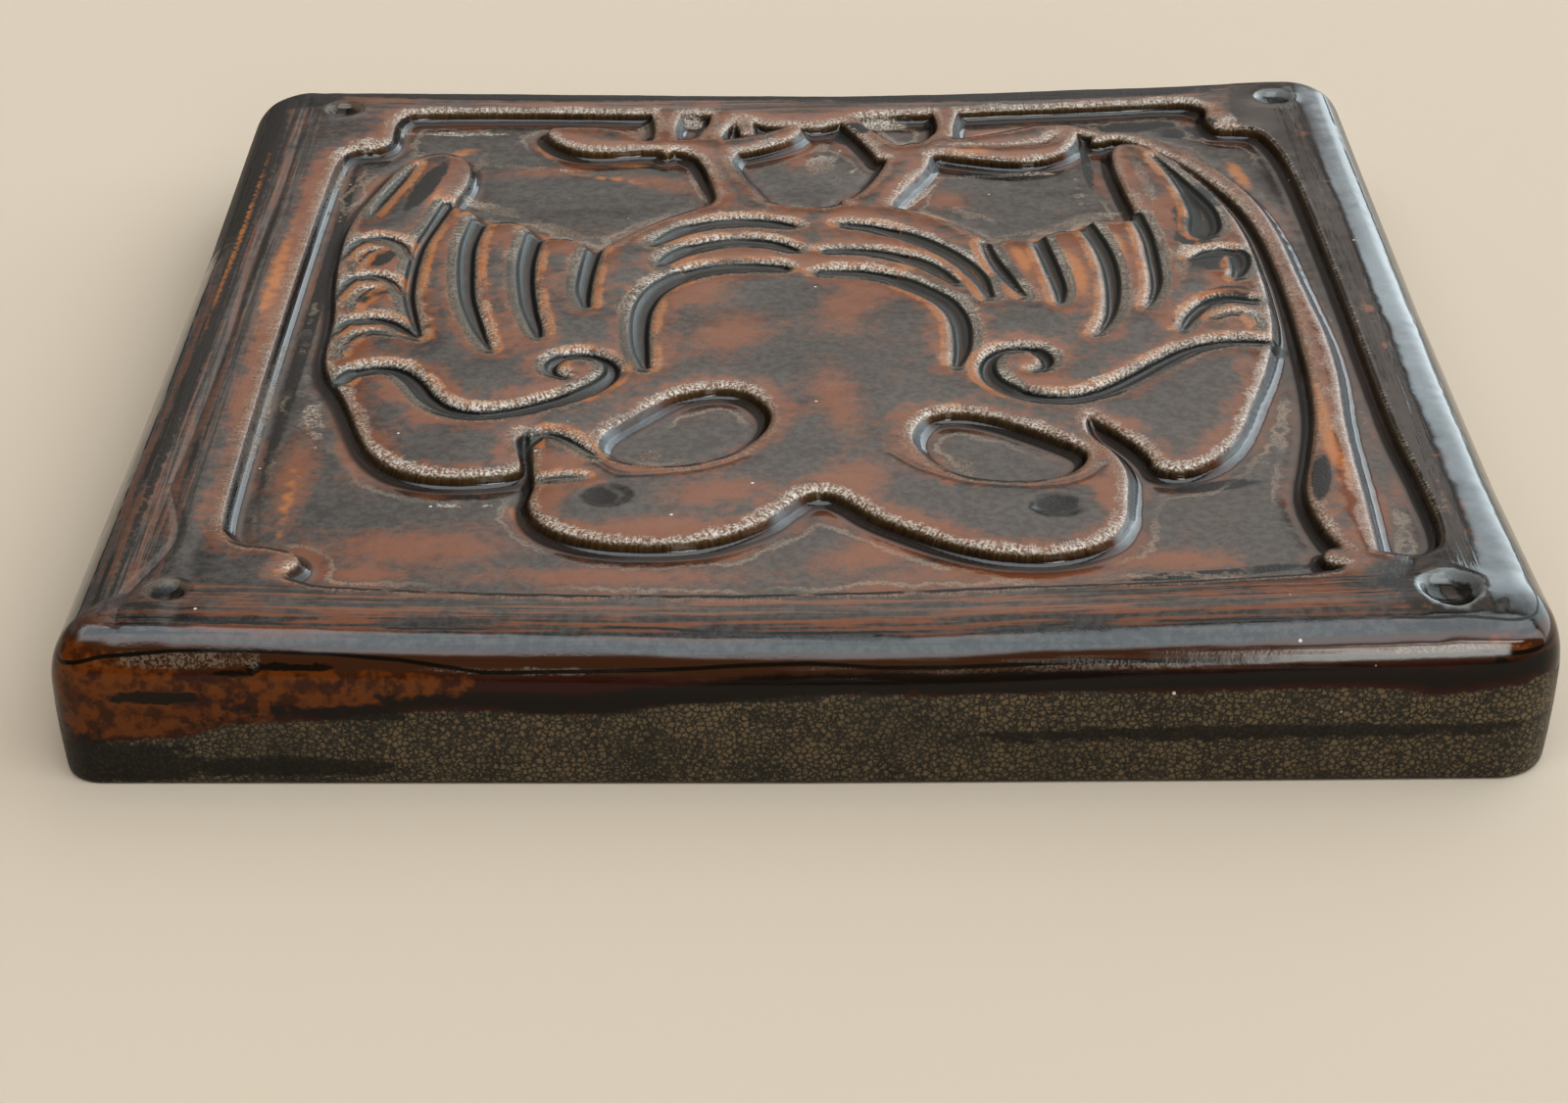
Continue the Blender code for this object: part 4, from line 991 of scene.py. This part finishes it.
class Nodes:
    """Short words for the nodes of a material or of the light."""

    def __init__(self, tree):
        self.tree = tree

    def node(self, kind, **settings):
        made = self.tree.nodes.new(kind)
        for name, value in settings.items():
            setattr(made, name, value)
        return made

    def feed(self, socket, value):
        """A socket is given a number, a colour or what another node works out."""
        if isinstance(value, Value):
            self.tree.links.new(value.socket, socket)
        elif isinstance(value, tuple) and socket.type == "RGBA":
            socket.default_value = (*value, 1.0)
        else:
            socket.default_value = value

    def math(self, operation, first, second=0.0):
        node = self.node("ShaderNodeMath", operation=operation)
        self.feed(node.inputs[0], first)
        self.feed(node.inputs[1], second)
        return Value(self, node.outputs[0])

    def mix(self, share, first, second):
        """The first colour where the share is 0 and the second where it is 1."""
        node = self.node("ShaderNodeMix", data_type="RGBA")
        self.feed(node.inputs["Factor"], share)
        self.feed(node.inputs[6], first)
        self.feed(node.inputs[7], second)
        return Value(self, node.outputs[2])

    def parts(self, vector):
        """The three numbers of a vector."""
        node = self.node("ShaderNodeSeparateXYZ")
        self.tree.links.new(vector, node.inputs[0])
        return [Value(self, socket) for socket in node.outputs]


class Paint(Nodes):
    """A new material, with short words for its textures and bumps."""

    def __init__(self, name):
        self.material = bpy.data.materials.new(name)
        self.material.use_nodes = True
        super().__init__(self.material.node_tree)
        self.shader = self.tree.nodes["Principled BSDF"]
        self.places = self.node("ShaderNodeTexCoord").outputs["Object"]

    def mark(self, name):
        """A number stored on the points of the mesh."""
        return Value(self, self.node("ShaderNodeAttribute", attribute_name=name).outputs["Fac"])

    def mapped(self, size, stretch=(1, 1, 1), place=(0, 0, 0)):
        """Coordinates that grow by one over a size in millimetres, stretched along the axes."""
        mapping = self.node("ShaderNodeMapping")
        self.tree.links.new(self.places, mapping.inputs["Vector"])
        mapping.inputs["Location"].default_value = place
        mapping.inputs["Scale"].default_value = [1 / (size * MM * axis) for axis in stretch]
        return Value(self, mapping.outputs["Vector"])

    def noise(self, where, detail=3.0, roughness=0.55, scale=1.0):
        """Noise from 0 to 1 over coordinates, or with blotches of a size in millimetres."""
        noise = self.node("ShaderNodeTexNoise")
        self.feed(noise.inputs["Vector"], where if isinstance(where, Value) else self.mapped(where))
        noise.inputs["Scale"].default_value = scale
        noise.inputs["Detail"].default_value = detail
        noise.inputs["Roughness"].default_value = roughness
        return Value(self, noise.outputs["Fac"])

    def cells(self, where, feature):
        """Distance to the middle or to the edge of a cell, over coordinates."""
        cells = self.node("ShaderNodeTexVoronoi", feature=feature)
        self.feed(cells.inputs["Vector"], where)
        cells.inputs["Scale"].default_value = 1.0
        return Value(self, cells.outputs["Distance"])

    def bump(self, height, depth, under=None, strength=1.0):
        """Normals of a bumpy surface, its bumps a depth in millimetres."""
        node = self.node("ShaderNodeBump")
        self.feed(node.inputs["Height"], height)
        self.feed(node.inputs["Strength"], strength)
        node.inputs["Distance"].default_value = depth * MM
        if under is not None:
            self.feed(node.inputs["Normal"], under)
        return Value(self, node.outputs["Normal"])

    def finish(self, colour, roughness, normal):
        """The material, with these on its shader."""
        self.feed(self.shader.inputs["Base Color"], colour)
        self.feed(self.shader.inputs["Roughness"], roughness)
        self.feed(self.shader.inputs["Normal"], normal)
        return self.material


# Colours of the glaze where it lies thick and where it has run thin, and of the painted highlights,
# sheen and reflections.
DARK = (0.021, 0.020, 0.018)
DEEP = (0.008, 0.0075, 0.007)
BLACK = (0.003, 0.002, 0.001)
RUST = (0.090, 0.026, 0.008)
AMBER = (0.17, 0.056, 0.010)
TAN = (0.135, 0.100, 0.070)
# A painted highlight colour for the crests, not a colour of the glaze.
PALE_HIGHLIGHT = (0.26, 0.235, 0.205)
CHANNEL = (0.017, 0.017, 0.014)
FLAME = (0.17, 0.050, 0.006)
# A painted sheen colour: grey-white reflection on the near side.
PAINTED_SHEEN = (0.070, 0.054, 0.040)
# A painted reflection colour for the rings round the dots.
RING_REFLECTION = (0.075, 0.078, 0.076)
UMBER = (0.060, 0.030, 0.015)
# A painted reflection on walls that face right, not a colour of the glaze.
WALL_REFLECTION = (0.13, 0.14, 0.145)
BURNT = (0.055, 0.015, 0.002)
BARK = (0.040, 0.023, 0.008)
BROWN = (0.022, 0.008, 0.003)
ORANGE = (0.020, 0.005, 0.001)
WINE = (0.013, 0.0025, 0.0015)
OLIVE = (0.068, 0.046, 0.023)
NET = (0.008, 0.007, 0.005)
DUST = (0.42, 0.38, 0.33)

# The glaze's gloss: its refraction, and its roughness where it is glossiest and dullest.
GLAZE_IOR = 1.34
GLOSSIEST = 0.11
DULLEST = 0.75
# How far from the middle the brushed border starts, and its flat part ends on the right.
BORDER = (86, 91)
RIGHT_END = (93, 91.8)
# The right edge is shaded as if it leaned out between these places, down by this share.
LEANING_OUT = (91.6, 98.5)
LEANING_DOWN = -0.55
# Heights, in millimetres, of what is shaded only: the walls' extra fall, brush marks and pits.
WALL_SHADE = 0.8
BRUSH_MARKS = 0.12
PITS = 0.075


class Glaze(Paint):
    """Iron glaze: nearly black where it pools, rusty around the crests and tan where it is thin.

    Every layer mixes one more colour over the last, by a share from 0 to 1. The numbers of a
    ramp are where its share is 0 and 1, and a swing is how far noise shifts that line. Both are
    in millimetres for low, run, x, y, outer and the lines along the near side.
    """

    def __init__(self):
        super().__init__("iron glaze")
        self.x, self.y, _ = (part * (1 / MM) for part in self.parts(self.places))
        self.low, self.run = self.mark("low"), self.mark("run")
        self.facing, self.rightward = self.mark("facing"), self.mark("rightward")
        self.outer = abs(self.x).at_least(abs(self.y))
        self.border = self.outer.ramp(*BORDER) * self.x.ramp(*RIGHT_END)
        self.grit = self.noise(0.40, detail=2)
        self.ragged = self.noise(2.2, roughness=0.62)
        self.patchy = self.noise(8)
        self.broad = self.noise(self.mapped(24, place=(3, 1, 2)))
        self.fringe = self.strands()
        self.streaks = self.brush_streaks()

    def strands(self):
        """Noise drawn out down the walls, along the fall of the glaze."""
        strand = self.node("ShaderNodeCombineXYZ")
        self.feed(strand.inputs[0], self.mark("strand_x"))
        self.feed(strand.inputs[1], self.mark("strand_y"))
        return self.noise(Value(self, strand.outputs[0]), detail=2, roughness=0.7, scale=1 / 0.45)

    def brush_streaks(self):
        """Brush streaks along the border: along X on the near and far one, along Y on the others."""
        beside = (abs(self.x) - abs(self.y)).ramp(-2, 2)
        across, along = self.mapped(1.1, (26, 1, 1)), self.mapped(1.1, (1, 36, 1), (5, 2, 0))
        return self.noise(self.mix(beside, across, along), roughness=0.6)

    def flats(self):
        """Grey flats with rust around the crests and in streaks on the border.

        Matte starts here: how dull the glaze is, to which the later layers add.
        """
        near_crest = (abs(self.low + self.ragged.swing(1.4)) + self.patchy.swing(4.5)).ramp(5.5, 0.8)
        streaked = (self.streaks + self.patchy.swing(0.14)).ramp(0.46, 0.58) * self.border
        streaked *= (0.5 + self.x.ramp(-87, -83) * 0.35) * self.outer.ramp(101, 98)
        combed = self.streaks.ramp(0.47, 0.40) * self.border
        cloud = near_crest * 0.50 + self.broad.swing(0.50) + self.ragged.swing(0.42)
        cloud += self.mark("rust_patch") * 0.70 + self.grit.swing(0.12)
        rust = (cloud.ramp(0.02, 0.70) * self.border.ramp(1, 0.4)).at_least(streaked)
        # Dark blots: black spots in the glaze, and painted shade at the near right corner and down the
        # right border.
        self.dark = (self.mark("dark_patch") + self.ragged.swing(0.25)).ramp(0.28, 0.55)
        rust *= self.dark.ramp(1, 0.2) * (0.62 + self.grit * 0.5)
        colour = self.mix(self.noise(1.3, detail=2, roughness=0.7).ramp(0.35, 0.65), DEEP, DARK)
        colour = self.mix(self.dark * 0.95, colour, BLACK)
        colour = self.mix(rust * 0.9, colour, RUST)
        colour = self.mix(combed * (0.35 + self.x.ramp(-80, -86) * 0.6), colour, BLACK)
        self.matte = self.dark * (0.01 + self.x.ramp(84, 78) * 0.38) + combed * 0.08
        amber = (self.mark("amber_patch") + self.ragged.swing(0.35)).ramp(0.30, 0.85)
        return self.mix(amber * 0.8, colour, AMBER)

    def grooves(self, colour):
        """Grooves: smooth grey, black along the steep side, with an orange flank above it."""
        channel = (self.mark("groove") + self.ragged.swing(0.4)).ramp(-0.3, 0.2)
        self.matte += channel * 0.26
        colour = self.mix(channel, colour, CHANNEL)
        cleft = self.mark("cleft") + self.ragged.swing(0.5)
        flank = cleft.line(-0.8, 1.1) * self.patchy.ramp(0.38, 0.54)
        colour = self.mix(flank * 0.8, colour, FLAME)
        return self.mix(cleft.line(0.7, 0.45), colour, BLACK)

    def walls(self, colour):
        """Steep walls: brown at the top, black at the foot, with strands running down them. Walls that
        face right get a painted reflection: bright blue-grey right of the middle, nearly black left of
        it.
        """
        off_groove = self.mark("groove").ramp(0.2, -0.4)
        fall = self.mark("fall") + self.fringe.swing(0.38) + self.ragged.swing(0.2)
        bark = self.mix(fall.ramp(0.85, 0.30), BLACK, BARK)
        steep = (self.mark("steep") + self.fringe.swing(0.3)).ramp(0.3, 0.7)
        steep *= off_groove * self.rightward.ramp(0.95, 0.45)
        colour = self.mix(steep * 0.92, colour, bark)
        # Painted reflection on walls that face right: bright blue-grey right of the middle, nearly
        # black left of it.
        painted_reflection = (self.low + self.ragged.swing(0.7) + self.fringe.swing(0.3)).line(1.2, 1.1)
        painted_reflection *= self.rightward.ramp(0.70, 0.88) * off_groove * self.outer.ramp(95, 90)
        colour = self.mix(painted_reflection * 0.9, colour, self.mix(self.x.ramp(-42, -34), DEEP, WALL_REFLECTION))
        foot = (self.low + self.ragged.swing(0.12)).line(2.1, 0.45) * self.rightward.ramp(0.8, 0.3)
        colour = self.mix(foot * 0.9, colour, BLACK)
        colour = self.mix(self.mark("pool") * 0.7, colour, DEEP)
        shore = (self.low + self.ragged.swing(1.2) + self.patchy.swing(3)).line(4.6, 0.7)
        shore *= self.broad.ramp(0.42, 0.58) * self.grit.ramp(0.25, 0.6)
        return self.mix(shore * 0.5, colour, TAN)

    def crests(self, colour):
        """Bands beside the crests where the glaze ran thin: tan grit that frays away from the wall.
        Above walls that face the near side the band is stronger and paler as a painted highlight, with
        painted glints; a black line at the crest of walls that fall to the far side is a painted
        shadow.
        """
        width = 1.5 + self.patchy.swing(2.0)
        band = (self.low + width + self.fringe.swing(0.55) + self.ragged.swing(0.9)).ramp(-0.2, 0.7)
        band *= (self.low + self.fringe.swing(0.5)).ramp(0.75, 0.25)
        band = band.at_least((self.mark("tan_patch") + self.ragged.swing(0.5)).ramp(0.35, 0.6))
        band *= self.outer.ramp(95, 92) * self.broad.ramp(0.25, 0.50) * self.dark.ramp(1, 0.3)
        # Painted highlight: the band is stronger above walls that face the near side.
        band *= 0.5 + self.facing.ramp(0.3, -0.6) * 0.5
        grit = (self.grit + self.fringe.swing(0.25)).ramp(0.30, 0.66)
        # Painted highlight: the tan turns pale above walls that face the near side.
        thin = self.mix(self.facing.ramp(0.2, -0.6) * 0.6, TAN, PALE_HIGHLIGHT)
        colour = self.mix(band * (0.35 + grit * 0.6), colour, self.mix(grit, UMBER, thin))
        # Painted glints: pale specks along crests above walls that face the near side.
        painted_glints = (self.low + self.fringe.swing(0.5)).line(0.05, 0.6) * self.patchy.ramp(0.40, 0.55)
        painted_glints *= (self.fringe + self.grit).ramp(0.98, 1.2) * self.facing.ramp(0.3, -0.5)
        colour = self.mix(painted_glints * 0.8, colour, PALE_HIGHLIGHT)
        # Painted shadow: a black line along the crest of walls that fall to the far side.
        edge = (self.low + self.ragged.swing(0.6)).line(-0.3, 0.55)
        edge *= self.facing.ramp(0.55, 0.85) * self.patchy.ramp(0.36, 0.46)
        self.matte += band * 0.34 + edge * 0.3
        return self.mix(edge, colour, BLACK)

    def rounding(self, colour):
        """The rounding: glossy brown and wine, burnt on the left, with soot and a painted grey sheen.
        """
        self.warp = self.noise(self.mapped(9, (2.5, 2.5, 1))).swing(1.1) + self.ragged.swing(0.5)
        blotted = self.ragged.swing(0.55) + self.patchy.swing(0.35)
        self.burnt = (self.mark("burnt") + blotted).ramp(0.35, 0.75)
        self.soot = (self.mark("soot") + blotted).ramp(0.38, 0.62)
        glossy = self.mix((self.run + self.warp).ramp(8.8, 10.2), BROWN, WINE)
        glossy = self.mix(self.burnt, glossy, self.mix(self.ragged.ramp(0.38, 0.6), ORANGE, BURNT))
        glossy = self.mix(self.soot * 0.95, glossy, BLACK)
        # Painted sheen: grey-white reflection streaks down the near side.
        painted_sheen = (self.mark("painted_sheen") + blotted).ramp(0.35, 0.7)
        painted_sheen *= (self.grit + self.ragged.swing(0.3)).ramp(0.40, 0.60)
        glossy = self.mix(painted_sheen * 0.75, glossy, PAINTED_SHEEN)
        band = self.mark("band") + self.warp * 0.3
        colour = self.mix(band.ramp(0.0, 0.7), colour, glossy)
        second = (self.mark("second") + self.warp * 0.12).line(0, 0.40) * band.ramp(0.2, 0.8)
        return self.mix(second, colour, BLACK)

    def skin(self, colour):
        """The crackled olive skin low on the sides, below a black rim."""
        net = self.mark("net") + self.warp * 1.3
        rim = (net + 1.6).line(0, 1.6) * 0.9 * (1.0 - self.burnt)
        colour = self.mix(rim, colour, BLACK)
        skin = self.mix(self.crackle(), NET, OLIVE)
        skin = self.mix(self.broad.ramp(0.5, 0.7) * 0.45, skin, NET)
        skin = self.mix(self.soot * 0.85, skin, BLACK)
        bare = net.ramp(0.0, 0.8)
        self.matte += bare * 0.30
        return self.mix(bare, colour, skin)

    def crackle(self):
        """0 in the dark net of the crackled skin and 1 on its cells."""
        bend = self.node("ShaderNodeTexNoise")
        self.feed(bend.inputs["Vector"], self.mapped(0.8))
        bend.inputs["Detail"].default_value = 2.0
        moved = self.node("ShaderNodeVectorMath", operation="ADD")
        self.feed(moved.inputs[0], self.mapped(0.85))
        self.feed(moved.inputs[1], Value(self, bend.outputs["Color"]))
        net = self.cells(Value(self, moved.outputs[0]), "DISTANCE_TO_EDGE").ramp(0.03, 0.22)
        cells = net * (self.grit + self.patchy.swing(0.35)).ramp(0.25, 0.55)
        return cells.ramp(0.0, 1.0)

    def small_things(self, colour):
        """The thin black line along the edge, the four dots with a painted reflection in a ring round
        each, and specks of dust.
        """
        gaps = self.noise(self.mapped(7, (2, 2, 1), (9, 4, 0)), detail=2).ramp(0.36, 0.50)
        line = (self.mark("hairline") + self.ragged.swing(0.22)).line(0, 0.30) * gaps
        colour = self.mix(line, colour, BLACK)
        dot = self.mark("dot") + self.ragged.swing(0.2)
        self.matte = (self.matte + line * 0.5) * self.mark("dot").ramp(1.1, 1.4)
        # Painted reflection: a grey ring round each dot, brighter towards the right.
        ring = dot.line(1.0, 0.25) * (0.15 + self.x.ramp(0, 40) * 0.65)
        colour = self.mix(ring, colour, RING_REFLECTION)
        colour = self.mix(dot.ramp(0.90, 0.72), colour, BLACK)
        speck = self.cells(self.mapped(9, place=(2, 7, 1)), "F1").ramp(0.034, 0.022)
        return self.mix(speck * 0.55, colour, DUST)

    def roughness(self):
        """Glossy, duller where it is matte and towards the far end of the right edge."""
        satin = self.x.ramp(92.5, 94.5) * self.y.ramp(-20, 60) * 0.13
        return (self.matte + satin + GLOSSIEST).at_most(DULLEST)

    def normal(self):
        """Crisp walls, brush marks on the border, and pits where the glaze is matte."""
        uneven = self.noise(5, detail=2) * 0.04 * self.x.ramp(92, 88)
        falling = self.low.ramp(1.3, 0.25) + uneven + self.x.ramp(*LEANING_OUT) * LEANING_DOWN
        crisp = self.bump(falling, WALL_SHADE)
        marked = self.border * self.outer.ramp(98, 96)
        brushed = self.bump(self.streaks, BRUSH_MARKS, under=crisp, strength=marked)
        rough = (self.matte * 2.4 + 0.04).at_most(1.0)
        return self.bump(self.grit + self.fringe, PITS, under=brushed, strength=rough)


def glaze_material():
    """The glaze, painted layer over layer."""
    glaze = Glaze()
    glaze.shader.inputs["IOR"].default_value = GLAZE_IOR
    colour = glaze.flats()
    colour = glaze.crests(glaze.walls(glaze.grooves(colour)))
    colour = glaze.small_things(glaze.skin(glaze.rounding(colour)))
    return glaze.finish(colour, glaze.roughness(), glaze.normal())


def clay_material():
    """Bare fired clay of the unglazed underside."""
    paint = Paint("fired clay")
    grit = paint.noise(0.6)
    colour = paint.mix(paint.noise(30), (0.30, 0.17, 0.10), (0.40, 0.25, 0.16))
    colour = paint.mix(grit.ramp(0.62, 0.75), colour, (0.12, 0.07, 0.04))
    return paint.finish(colour, 0.85, paint.bump(grit, 0.05))


def make_camera():
    """The photograph's camera."""
    pitch, yaw, roll = (math.radians(angle) for angle in (CAMERA_PITCH, CAMERA_YAW, CAMERA_ROLL))
    ahead = Vector((-math.sin(yaw), math.cos(yaw), 0))
    across = Vector((math.cos(yaw), math.sin(yaw), 0))
    forward = ahead * math.cos(pitch) - Vector((0, 0, 1)) * math.sin(pitch)
    upward = ahead * math.sin(pitch) + Vector((0, 0, 1)) * math.cos(pitch)
    right = across * math.cos(roll) - upward * math.sin(roll)
    up = across * math.sin(roll) + upward * math.cos(roll)
    data = bpy.data.cameras.new("camera")
    data.sensor_fit = "HORIZONTAL"
    data.sensor_width = SENSOR_WIDTH
    data.lens = CAMERA_LENS
    data.clip_start = 0.01
    camera = bpy.data.objects.new("camera", data)
    turn = Matrix((right, up, -forward)).transposed().to_4x4()
    turn.translation = Vector(CAMERA_PLACE)
    camera.matrix_world = turn
    bpy.context.scene.collection.objects.link(camera)
    bpy.context.scene.camera = camera


# The floor's size in metres, its colour, and the colour that the camera sees past it.
FLOOR_SIZE = 12.0
FLOOR = (0.240, 0.196, 0.150)
HORIZON = (0.80, 0.78, 0.75)


def make_floor():
    """A plain pale floor, wide enough to fill every view."""
    bpy.ops.mesh.primitive_plane_add(size=FLOOR_SIZE)
    floor = bpy.context.object
    floor.name = "floor"
    paint = Paint("pale floor")
    paint.shader.inputs["Base Color"].default_value = (*FLOOR, 1.0)
    paint.shader.inputs["Roughness"].default_value = 0.9
    floor.data.materials.append(paint.material)


# Brightness of the soft panels that stand around the tile, and of the dim walls between them.
WALL_BEHIND_CAMERA = (0.12, 0.11, 0.10)
WALL_AHEAD = (0.32, 0.29, 0.27)
BACK = (2.05, 1.84, 1.70)
BACK_ON_THE_LEFT = (0.35, 0.33, 0.31)
BACK_FAR_LEFT = (0.62, 0.55, 0.49)
BACK_FAR_RIGHT = (0.22, 0.21, 0.20)
RIGHT = (3.0, 3.4, 3.6)
WINDOW = (5.6, 6.2, 6.6)
LAMP = (16.0, 16.0, 15.5)
STRIP = (13.0, 13.0, 12.5)


def studio_colour(nodes):
    """The light that comes from each direction.

    x, y and z are the parts of the direction, and lean is how far it leans away from upright.
    The numbers are where the edges of a panel fade in and out.
    """
    x, y, z = nodes.parts(nodes.node("ShaderNodeTexCoord").outputs["Generated"])
    lean = y / z.at_least(0.04)
    above = (z - 0.37).at_least(0.0) * 0.4
    beside = x - above - (0.35 - z).at_least(0.0).at_most(0.12) * 1.3
    leftward = (x + above) * -1.0
    back = nodes.mix(x.ramp(-0.27, -0.02), BACK_ON_THE_LEFT, BACK)
    back = nodes.mix(leftward.ramp(0.128, 0.155), back, BACK_FAR_LEFT)
    back = nodes.mix(beside.ramp(0.134, 0.146), back, BACK_FAR_RIGHT)
    window = lean.ramp(-0.17, -0.22) * lean.ramp(-1.10, -0.85)
    window *= x.ramp(-0.80, -0.45) * x.ramp(1.3, 0.8)
    lamp = lean.ramp(-1.15, -1.25) * lean.ramp(-1.50, -1.40)
    lamp *= x.ramp(0.12, 0.24) * x.ramp(0.75, 0.65)
    strip = lean.ramp(-1.5, -1.7) * lean.ramp(-6.0, -5.0)
    strip *= x.ramp(0.11, 0.14) * x.ramp(0.45, 0.40)
    colour = nodes.mix(y.ramp(-0.2, 0.4), WALL_BEHIND_CAMERA, WALL_AHEAD)
    colour = nodes.mix(lean.ramp(-0.12, -0.09) * z.ramp(0.27, 0.56), colour, back)
    colour = nodes.mix(beside.ramp(0.185, 0.197) * y.ramp(-0.1, 0.15), colour, RIGHT)
    for panel, brightness in ((window, WINDOW), (lamp, LAMP), (strip, STRIP)):
        colour = nodes.mix(panel, colour, brightness)
    return colour


def make_light():
    """Soft studio light from large panels. The camera itself sees only a plain pale horizon."""
    world = bpy.data.worlds.new("studio")
    bpy.context.scene.world = world
    world.use_nodes = True
    nodes = Nodes(world.node_tree)
    nodes.tree.nodes.clear()
    lit, seen = nodes.node("ShaderNodeBackground"), nodes.node("ShaderNodeBackground")
    nodes.feed(lit.inputs["Color"], studio_colour(nodes))
    nodes.feed(seen.inputs["Color"], HORIZON)
    choice, path = nodes.node("ShaderNodeMixShader"), nodes.node("ShaderNodeLightPath")
    nodes.tree.links.new(path.outputs["Is Camera Ray"], choice.inputs["Fac"])
    nodes.tree.links.new(lit.outputs[0], choice.inputs[1])
    nodes.tree.links.new(seen.outputs[0], choice.inputs[2])
    output = nodes.node("ShaderNodeOutputWorld")
    nodes.tree.links.new(choice.outputs[0], output.inputs["Surface"])


def main():
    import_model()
    make_camera()
    make_floor()
    make_light()
    tile = make_tile(Face())
    tile.data.materials.append(glaze_material())
    tile.data.materials.append(clay_material())
    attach(tile, "root")
    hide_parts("tile")
    bpy.context.scene.view_settings.view_transform = "Standard"
    bpy.context.scene.view_settings.look = "Medium High Contrast"


main()
